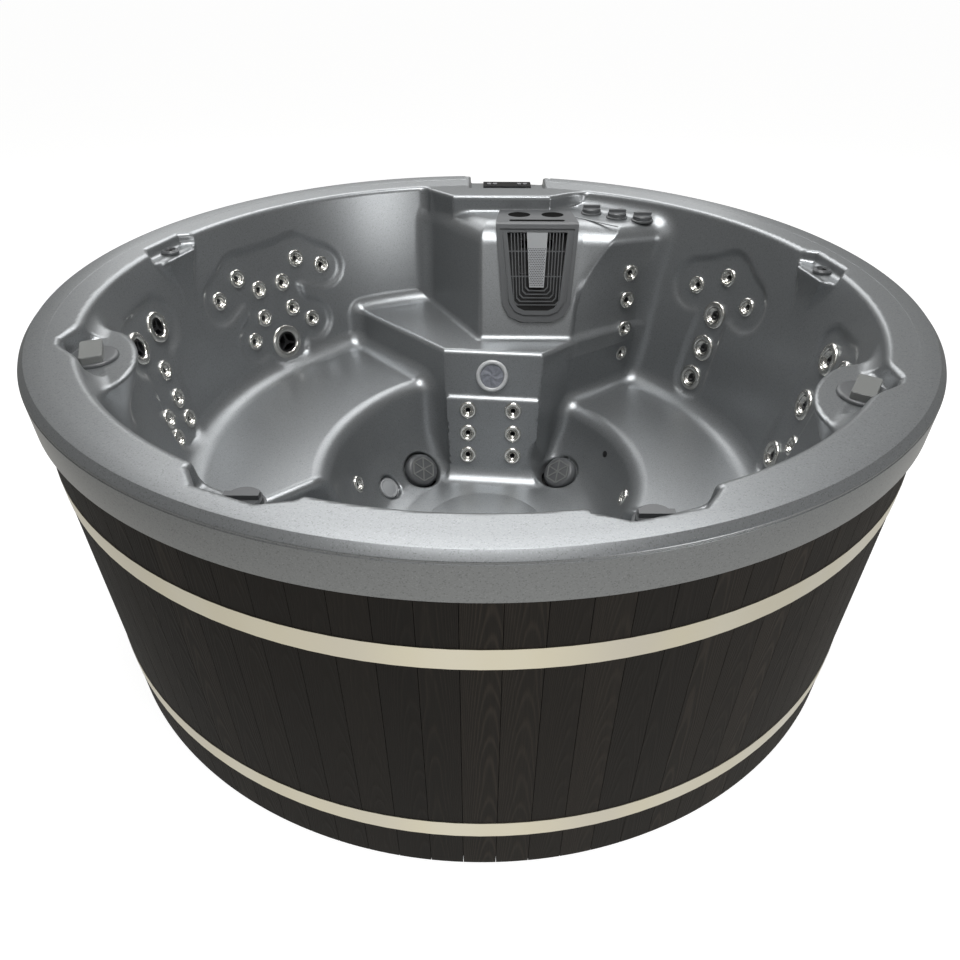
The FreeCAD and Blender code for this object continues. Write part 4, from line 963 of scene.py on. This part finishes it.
def plain(name, color, roughness, metallic=0.0, grain=0.06, grain_scale=900.0, coat=0.0):
    """A moulded or metal surface with a fine grain in its colour."""
    material, tree, shader = new_material(name, roughness, metallic, coat)
    stops = [(0.3, scaled(color, 1 - grain)), (0.7, scaled(color, 1 + grain))]
    tree.links.new(shades(tree, noise(tree, grain_scale), stops), shader.inputs["Base Color"])
    return material


def painted_shade_black(name):
    """A dull black that shows almost no light, used as painted shade where holes would be."""
    material = plain(name, (0.006, 0.006, 0.006), 0.9)
    material.node_tree.nodes["Principled BSDF"].inputs["Specular IOR Level"].default_value = 0.05
    return material


def flecked_acrylic(name, color):
    """Satin acrylic with small metal flecks, each a random shade."""
    material, tree, shader = new_material(name, 0.34, 0.65, 0.1)
    where = tree.nodes.new("ShaderNodeTexCoord").outputs["Object"]
    flecks = tree.nodes.new("ShaderNodeTexVoronoi")
    flecks.inputs["Scale"].default_value = 560.0
    tree.links.new(where, flecks.inputs["Vector"])
    part = tree.nodes.new("ShaderNodeSeparateColor")
    tree.links.new(flecks.outputs["Color"], part.inputs["Color"])
    tones = ((0.0, 0.72), (0.1, 0.9), (0.2, 0.99), (0.9, 1.03), (1.0, 1.18))
    stops = [(place, scaled(color, tone)) for place, tone in tones]
    tree.links.new(shades(tree, part.outputs["Red"], stops), shader.inputs["Base Color"])
    return material


def math_node(tree, operation, *values):
    """The result of a sum on numbers or on other nodes' results."""
    node = tree.nodes.new("ShaderNodeMath")
    node.operation = operation
    for socket, value in zip(node.inputs, values):
        if isinstance(value, (int, float)):
            socket.default_value = value
        else:
            tree.links.new(value, socket)
    return node.outputs["Value"]


# Wood figure: boards around the skirt, shape of the growth rings, and seeds for each board's own chances
STAVE_PITCH = math.tau / 98
RING_ARCH, RING_WOBBLE, RING_PHASE, RING_COUNT, RING_SHARPNESS = 9.0, 2.2, 37.0, 12.0, 3.0
SHADE_SEED, FIGURE_SEED = 91.7, 53.3
WOOD_STOPS = [(0.1, (0.0064, 0.0052, 0.0043)), (0.55, (0.0135, 0.0108, 0.0084)), (1.0, (0.038, 0.030, 0.023))]


def stained_wood(name):
    """Dark stained boards: pointed growth rings, long pores, and a shade per board."""
    material, tree, shader = new_material(name, 0.68)
    shader.inputs["Specular IOR Level"].default_value = 0.25

    def sums(operation, *values):
        return math_node(tree, operation, *values)

    axes = tree.nodes.new("ShaderNodeSeparateXYZ")
    tree.links.new(tree.nodes.new("ShaderNodeTexCoord").outputs["Object"], axes.inputs["Vector"])
    chance = tree.nodes.new("ShaderNodeNewGeometry").outputs["Random Per Island"]
    around = sums("ARCTAN2", axes.outputs["Y"], axes.outputs["X"])
    across = sums("SUBTRACT", sums("FRACT", sums("DIVIDE", around, STAVE_PITCH)), 0.5)
    offset = sums("SUBTRACT", across, sums("MULTIPLY_ADD", chance, 0.7, -0.35))
    arch = sums("MULTIPLY", sums("MULTIPLY", offset, offset), RING_ARCH)
    climb = sums("MULTIPLY", axes.outputs["Z"], sums("MULTIPLY_ADD", chance, 5.0, 3.0))
    wobble = sums("MULTIPLY", noise(tree, 9.0, 2.0, (1, 1, 0.35)), RING_WOBBLE)
    phase = sums("ADD", sums("ADD", arch, climb), wobble)
    phase = sums("ADD", phase, sums("MULTIPLY", chance, RING_PHASE))
    rings = sums("SINE", sums("MULTIPLY", phase, RING_COUNT))
    rings = sums("POWER", sums("MULTIPLY_ADD", rings, 0.5, 0.5), RING_SHARPNESS)
    pores = noise(tree, 60.0, 4.0, (6, 6, 0.25))
    board = sums("MULTIPLY_ADD", sums("FRACT", sums("MULTIPLY", chance, SHADE_SEED)), 0.3, 0.1)
    figure = sums("MULTIPLY_ADD", sums("FRACT", sums("MULTIPLY", chance, FIGURE_SEED)), 0.3, 0.04)
    tone = sums("MULTIPLY_ADD", pores, 0.4, sums("MULTIPLY_ADD", rings, figure, board))
    tree.links.new(shades(tree, tone, WOOD_STOPS), shader.inputs["Base Color"])
    bump = tree.nodes.new("ShaderNodeBump")
    bump.inputs["Strength"].default_value = 0.25
    bump.inputs["Distance"].default_value = 0.002
    tree.links.new(sums("ADD", pores, rings), bump.inputs["Height"])
    tree.links.new(bump.outputs["Normal"], shader.inputs["Normal"])
    return material


def hoop_metal(name):
    """Polished steel strip whose colour carries painted reflections: warm, uneven streaks along its length
    stand in for warm surroundings mirrored in it.
    """
    material, tree, shader = new_material(name, 0.3, 1.0)
    painted_reflections = noise(tree, 3.2, 2.0, (1, 1, 0.02))
    # Painted reflection: warm cream tones over the steel's grey, standing in for warm surroundings mirrored
    # in it
    stops = [(0.3, (0.80, 0.76, 0.66)), (0.5, (0.88, 0.83, 0.67)), (0.7, (0.93, 0.90, 0.80))]
    tree.links.new(shades(tree, painted_reflections, stops), shader.inputs["Base Color"])
    return material


shell_look = flecked_acrylic("shell acrylic", (0.27, 0.281, 0.289))
chrome = plain("jet chrome", (0.84, 0.83, 0.79), 0.24, 1.0, 0.03)
black = plain("jet black", (0.014, 0.014, 0.015), 0.35)
# Dull black used as painted shade in the skimmer cap's holes
dark = painted_shade_black("painted hole shade")
graphite = plain("graphite plastic", (0.095, 0.099, 0.103), 0.4, grain=0.1)
handle_grey = plain("handle grey", (0.18, 0.185, 0.18), 0.4)
pale = plain("pale grey plastic", (0.33, 0.34, 0.35), 0.45)
steel = plain("bolt steel", (0.62, 0.61, 0.60), 0.3, 1.0)
timber = plain("frame timber", (0.52, 0.40, 0.26), 0.7, grain=0.2, grain_scale=30.0)
white = plain("pipe white", (0.78, 0.78, 0.76), 0.4)
pan = plain("pan plastic", (0.05, 0.05, 0.05), 0.6)
paint = plain("motor paint", (0.12, 0.12, 0.13), 0.45)
cloth = plain("filter cloth", (0.82, 0.83, 0.85), 0.85)
gloss_black = plain("panel black", (0.012, 0.012, 0.013), 0.15)
rubber = plain("button grey", (0.19, 0.19, 0.20), 0.6)
lens = plain("lens", (0.25, 0.262, 0.30), 0.15, coat=0.5, grain=0.12, grain_scale=160.0)
lens_ring = plain("lens ring", (0.62, 0.63, 0.64), 0.2, coat=0.4, grain=0.05)

# Looks of the part's nodes, by the start of their names
LOOKS = [
    (shell_look, ("acrylic_shell",)),
    (stained_wood("stained wood"), ("skirt_staves",)),
    (hoop_metal("hoop steel"), ("upper_hoop", "lower_hoop")),
    (steel, ("hoop_bolts", "heater_tube")),
    (chrome, ("small_jet_rims", "middle_jet_rims", "large_jet_rims")),
    (black, ("small_jet_nozzles", "middle_jet_nozzle", "deck_jet_nozzle", "jet_rotor", "sensor_plug",
             "skimmer_bucket", "weir_flap", "cable_gland")),
    (graphite, ("air_knob", "air_control_bases", "diverter_handle", "diverter_bases", "deck_jet_rings",
                "suction_covers", "suction_bases", "skimmer_grille", "skimmer_cap")),
    (pale, ("floor_cap", "grille_strip", "control_box")),
    (lens, ("light_lens",)),
    (white, ("light_housing", "filter_end_caps", "pipework")),
    (cloth, ("filter_media",)),
    (gloss_black, ("control_panel", "display_window")),
    (rubber, ("panel_button",)),
    (timber, ("cabinet_frame",)),
    (paint, ("pump_motor",)),
    (pan, ("base_pan", "floor_support", "pump_wet_end", "pump_impeller")),
]
for node, obj in nodes.items():
    [look] = [look for look, starts in LOOKS if node.startswith(starts)]
    obj.data.materials.clear()
    obj.data.materials.append(look)


def soften(node, width, segments):
    """Rounded edges on a node of the part."""
    bevel = nodes[node].modifiers.new("soft edges", "BEVEL")
    bevel.width = width * MM
    bevel.segments = segments
    bevel.limit_method = "ANGLE"
    bevel.angle_limit = math.radians(35)


soften("skirt_staves", 1.2, 1)
for node in ("skimmer_grille", "skimmer_cap", "grille_strip", "control_panel"):
    soften(node, 1.0, 2)

# Places of the fittings, and their flat seats in the moulding
jet_spots = {kind: facing_axes(kind + "_jet_rims", JET_RIM_HEIGHT) for kind in JET_RIMS}
suction_spots = facing_axes("suction_covers", SUCTION_HEIGHT)
cap_spots = facing_axes("floor_cap", CAP_HEIGHT)
fitting_seats = [(*spot, SUCTION_SEAT) for spot in suction_spots] + [(*spot, CAP_SEAT) for spot in cap_spots]


# Pieces of the scene

def add_shell():
    parts = [moulded_surface(), lip_ring(), floor_disc(), bead(*SHELF_BEAD, SHELF_LEVEL, BEAD_HALF)]
    new_piece("acrylic_shell_moulding", parts, shell_look, "tub", ["acrylic_shell"])


def add_turned(name, profile, steps, spots, look, replaced=()):
    """One turned shape at each of several places on the tub."""
    part = turned_ring(profile, steps)
    new_piece(name, [set_up(part, *spot) for spot in spots], look, "tub", replaced)


def add_fixed_jets():
    """Rounded rims, the cups behind the wide ones, and the bowls of the small ones."""
    for kind, sizes in JET_RIMS.items():
        add_turned(kind + "_jet_domes", dome_profile(*sizes), 48, jet_spots[kind], chrome,
                   [kind + "_jet_rims"])
    for kind, sizes in JET_CUPS.items():
        add_turned(kind + "_jet_cups", cup_profile(*sizes), 36, jet_spots[kind], black)
    add_turned("small_jet_bowls", bowl_profile(*SMALL_BOWL), 28, jet_spots["small"], chrome,
               ["small_jet_nozzles"])
    add_turned("small_jet_throats", cup_profile(*SMALL_THROAT), 20, jet_spots["small"], black)


def add_turning_jets():
    """The bowl and the off-centre eye of each middle jet that turns."""
    bowl = turned_ring(bowl_profile(*MIDDLE_BOWL), 36)
    eye = turned_ring(EYE, 28)
    pupil = turned_ring(cup_profile(*PUPIL), 20)
    for joint in frame["record"]["behaviour"]["joints"]:
        body = joint["child"]
        if not body.startswith("middle_jet_nozzle"):
            continue
        axis = np.array(joint["axis"])
        pivot = np.array(joint["pos_m"]) / MM
        [origin] = [spot for spot, _ in jet_spots["middle"]
                    if np.linalg.norm(np.cross(spot - pivot, axis)) < 5]
        axis = axis if axis @ (np.array([0, 0, TUB_HEIGHT]) - origin) > 0 else -axis
        tip = origin + unit(np.array([0, 0, -1.0]) + axis * axis[2]) * EYE_DROP
        number = body.rsplit("_", 1)[1]
        bowls = [set_up(bowl, origin, axis)]
        new_piece("middle_jet_bowl_" + number, bowls, chrome, body, [body])
        eyes = [set_up(eye, tip, axis), set_up(pupil, tip, axis)]
        new_piece("middle_jet_eye_" + number, eyes, black, body)


def add_light():
    spots = facing_axes("light_lens", LENS_HEIGHT)
    add_turned("light_lens_ring", LENS_RING, 64, spots, lens_ring, ["light_lens"])
    new_piece("light_lens_star", [set_up(star_lens(LENS_RADIUS), *spots[0])], lens, "tub")


def add_floor_fittings():
    """Suction covers with their ribs, and the floor cap."""
    add_turned("suction_cover_drums", SUCTION_DRUM, 56, suction_spots, graphite,
               ["suction_covers"])
    corners = ellipse(RIB_REACH, RIB_REACH, 6)
    ribs = []
    for turn, (first, second) in enumerate(zip(corners, corners[1:] + corners[:1])):
        ribs.append(rib((0, 0), first, RIB_HALF, RIB_LOW, RIB_HIGH + 0.2 + RIB_STEP * turn))
        ribs.append(rib(first, second, RIB_HALF, RIB_LOW, RIB_HIGH))
    parts = [set_up(part, *spot) for spot in suction_spots for part in ribs]
    new_piece("suction_cover_ribs", parts, handle_grey, "tub")
    add_turned("floor_cap_disc", CAP_DISC, 48, cap_spots, pale, ["floor_cap"])


def add_cap_hole_shade():
    """Painted shade for two finger holes and a slot in the skimmer cap: thin dull black plates on the cap
    where the holes would be.
    """
    top = max(v.co.z for v in nodes["skimmer_cap"].data.vertices) / MM
    levels = (top - HOLE_SINK, top + HOLE_RISE, HOLE_EDGE)
    finger = block(ellipse(*FINGER_HOLE), *levels)
    slot = block(round_box(*CAP_SLOT, CAP_SLOT_CORNER), *levels)
    across, back = FINGER_PLACE
    parts = [placed(finger, (GRILLE_MIDDLE + side * across, FRONT_EDGE + back, 0)) for side in (-1, 1)]
    parts.append(placed(slot, (GRILLE_MIDDLE, FRONT_EDGE + CAP_SLOT_PLACE, 0)))
    new_piece("cap_finger_hole_shade", parts, dark, "skimmer_face")


def add_diverters():
    """The turning bar of each diverter valve on its dish."""
    dish = turned_ring(DIVERTER_DISH, 56)
    bar = block(round_box(*BAR_SIZE, BAR_CORNER), BAR_LOW, BAR_HIGH, BAR_EDGE)
    dishes = []
    for side, azimuth in zip(("left", "right"), DIVERTER_AZIMUTHS):
        [(x, y)] = turned([(DIVERTER_REACH, 0)], azimuth)
        spot = (x, y, POCKET_LEVEL)
        handle = "diverter_handle_" + side
        dishes.append(placed(dish, spot))
        new_piece("diverter_bar_" + side, [placed(bar, spot, azimuth + 90)], handle_grey, handle,
                  [handle])
    new_piece("diverter_dishes", dishes, graphite, "tub", ["diverter_bases"])


add_shell()
add_fixed_jets()
add_turning_jets()
add_light()
add_floor_fittings()
add_cap_hole_shade()
add_diverters()
# Painted shade of the strip's perforation, as thin dark dots on its face
new_piece("grille_strip_hole_shade", strip_hole_shade_dots(), black, "skimmer_face")

# Camera at the photograph's angle, and soft lights: place, target, size and power
CAMERA_PLACE = (-0.0027, -1.6766, 1.4435)
CAMERA_DOWN, CAMERA_ROLL = 36.1575, 0.271
CAMERA_SENSOR, CAMERA_LENS = 36, 26.79
FLOOR_HALF, FLOOR_TONE, FLOOR_GLOW = 60, 0.3, 0.94
WORLD_LOW, WORLD_HIGH = 0.75, 0.14
WORLD_TINT = (1, 0.98, 0.93)
LIGHTS = {
    "back": ((-0.3, 2.8, 2.6), (0, -0.4, 0.8), (3.7, 1.2), 30),
    "back_high": ((0.3, 2.8, 3.9), (0, -0.4, 0.8), (3.4, 1.0), 54),
    "overhead": ((0, -0.3, 3.8), (0, 0, 0.5), (1.6, 1.6), 92),
    "front_high": ((0, -2.9, 3.4), (0, 0, 0.6), (3.0, 1.4), 9),
    "low_right": ((3.0, -3.6, 1.4), (0, 0, 0.5), (1.6, 1.6), 65),
}


def photo_camera():
    data = bpy.data.cameras.new("camera")
    camera = bpy.data.objects.new("camera", data)
    scene.collection.objects.link(camera)
    camera.location = CAMERA_PLACE
    camera.rotation_euler = (math.radians(90 - CAMERA_DOWN), 0, 0)
    camera.rotation_euler.rotate_axis("Z", math.radians(CAMERA_ROLL))
    data.sensor_width = CAMERA_SENSOR
    data.lens = CAMERA_LENS
    scene.camera = camera


def pale_floor():
    """A floor that shows pale to the camera and throws no light back on the tub."""
    corners = [(x * FLOOR_HALF, y * FLOOR_HALF, 0) for x, y in ((-1, -1), (1, -1), (1, 1), (-1, 1))]
    mesh = bpy.data.meshes.new("floor")
    mesh.from_pydata(corners, [], [(0, 1, 2, 3)])
    look = plain("floor", (FLOOR_TONE,) * 3, 0.9)
    shader = look.node_tree.nodes["Principled BSDF"]
    shader.inputs["Emission Color"].default_value = (1, 1, 1, 1)
    shader.inputs["Emission Strength"].default_value = FLOOR_GLOW
    mesh.materials.append(look)
    floor = bpy.data.objects.new("floor", mesh)
    scene.collection.objects.link(floor)
    floor.visible_diffuse = False
    floor.visible_glossy = False


def studio_world():
    """Soft surroundings: paler below, dimmer at the sides, white where the camera looks past the floor."""
    world = bpy.data.worlds.new("studio")
    world.use_nodes = True
    tree = world.node_tree
    way = tree.nodes.new("ShaderNodeSeparateXYZ")
    tree.links.new(tree.nodes.new("ShaderNodeTexCoord").outputs["Generated"], way.inputs["Vector"])
    height = math_node(tree, "MULTIPLY_ADD", way.outputs["Z"], 0.5, 0.5)
    tone = shades(tree, height, [(0.3, (WORLD_LOW,) * 3), (0.55, (WORLD_HIGH,) * 3)])
    side = math_node(tree, "MULTIPLY", way.outputs["X"], way.outputs["X"])
    level = math_node(tree, "MULTIPLY", tone, math_node(tree, "MULTIPLY_ADD", side, -0.5, 1.0))
    seen = tree.nodes.new("ShaderNodeLightPath").outputs["Is Camera Ray"]
    back = tree.nodes["Background"]
    tree.links.new(shades(tree, seen, [(0.0, WORLD_TINT), (1.0, (1, 1, 1))]), back.inputs["Color"])
    tree.links.new(math_node(tree, "MAXIMUM", level, seen), back.inputs["Strength"])
    scene.world = world


def soft_light(name, location, target, extent, power):
    data = bpy.data.lights.new(name, "AREA")
    data.shape = "RECTANGLE"
    data.size, data.size_y = extent
    data.energy = power
    light = bpy.data.objects.new(name, data)
    light.location = location
    light.rotation_euler = (Vector(target) - Vector(location)).to_track_quat("-Z", "Y").to_euler()
    scene.collection.objects.link(light)


photo_camera()
pale_floor()
studio_world()
for name, setting in LIGHTS.items():
    soft_light(name, *setting)
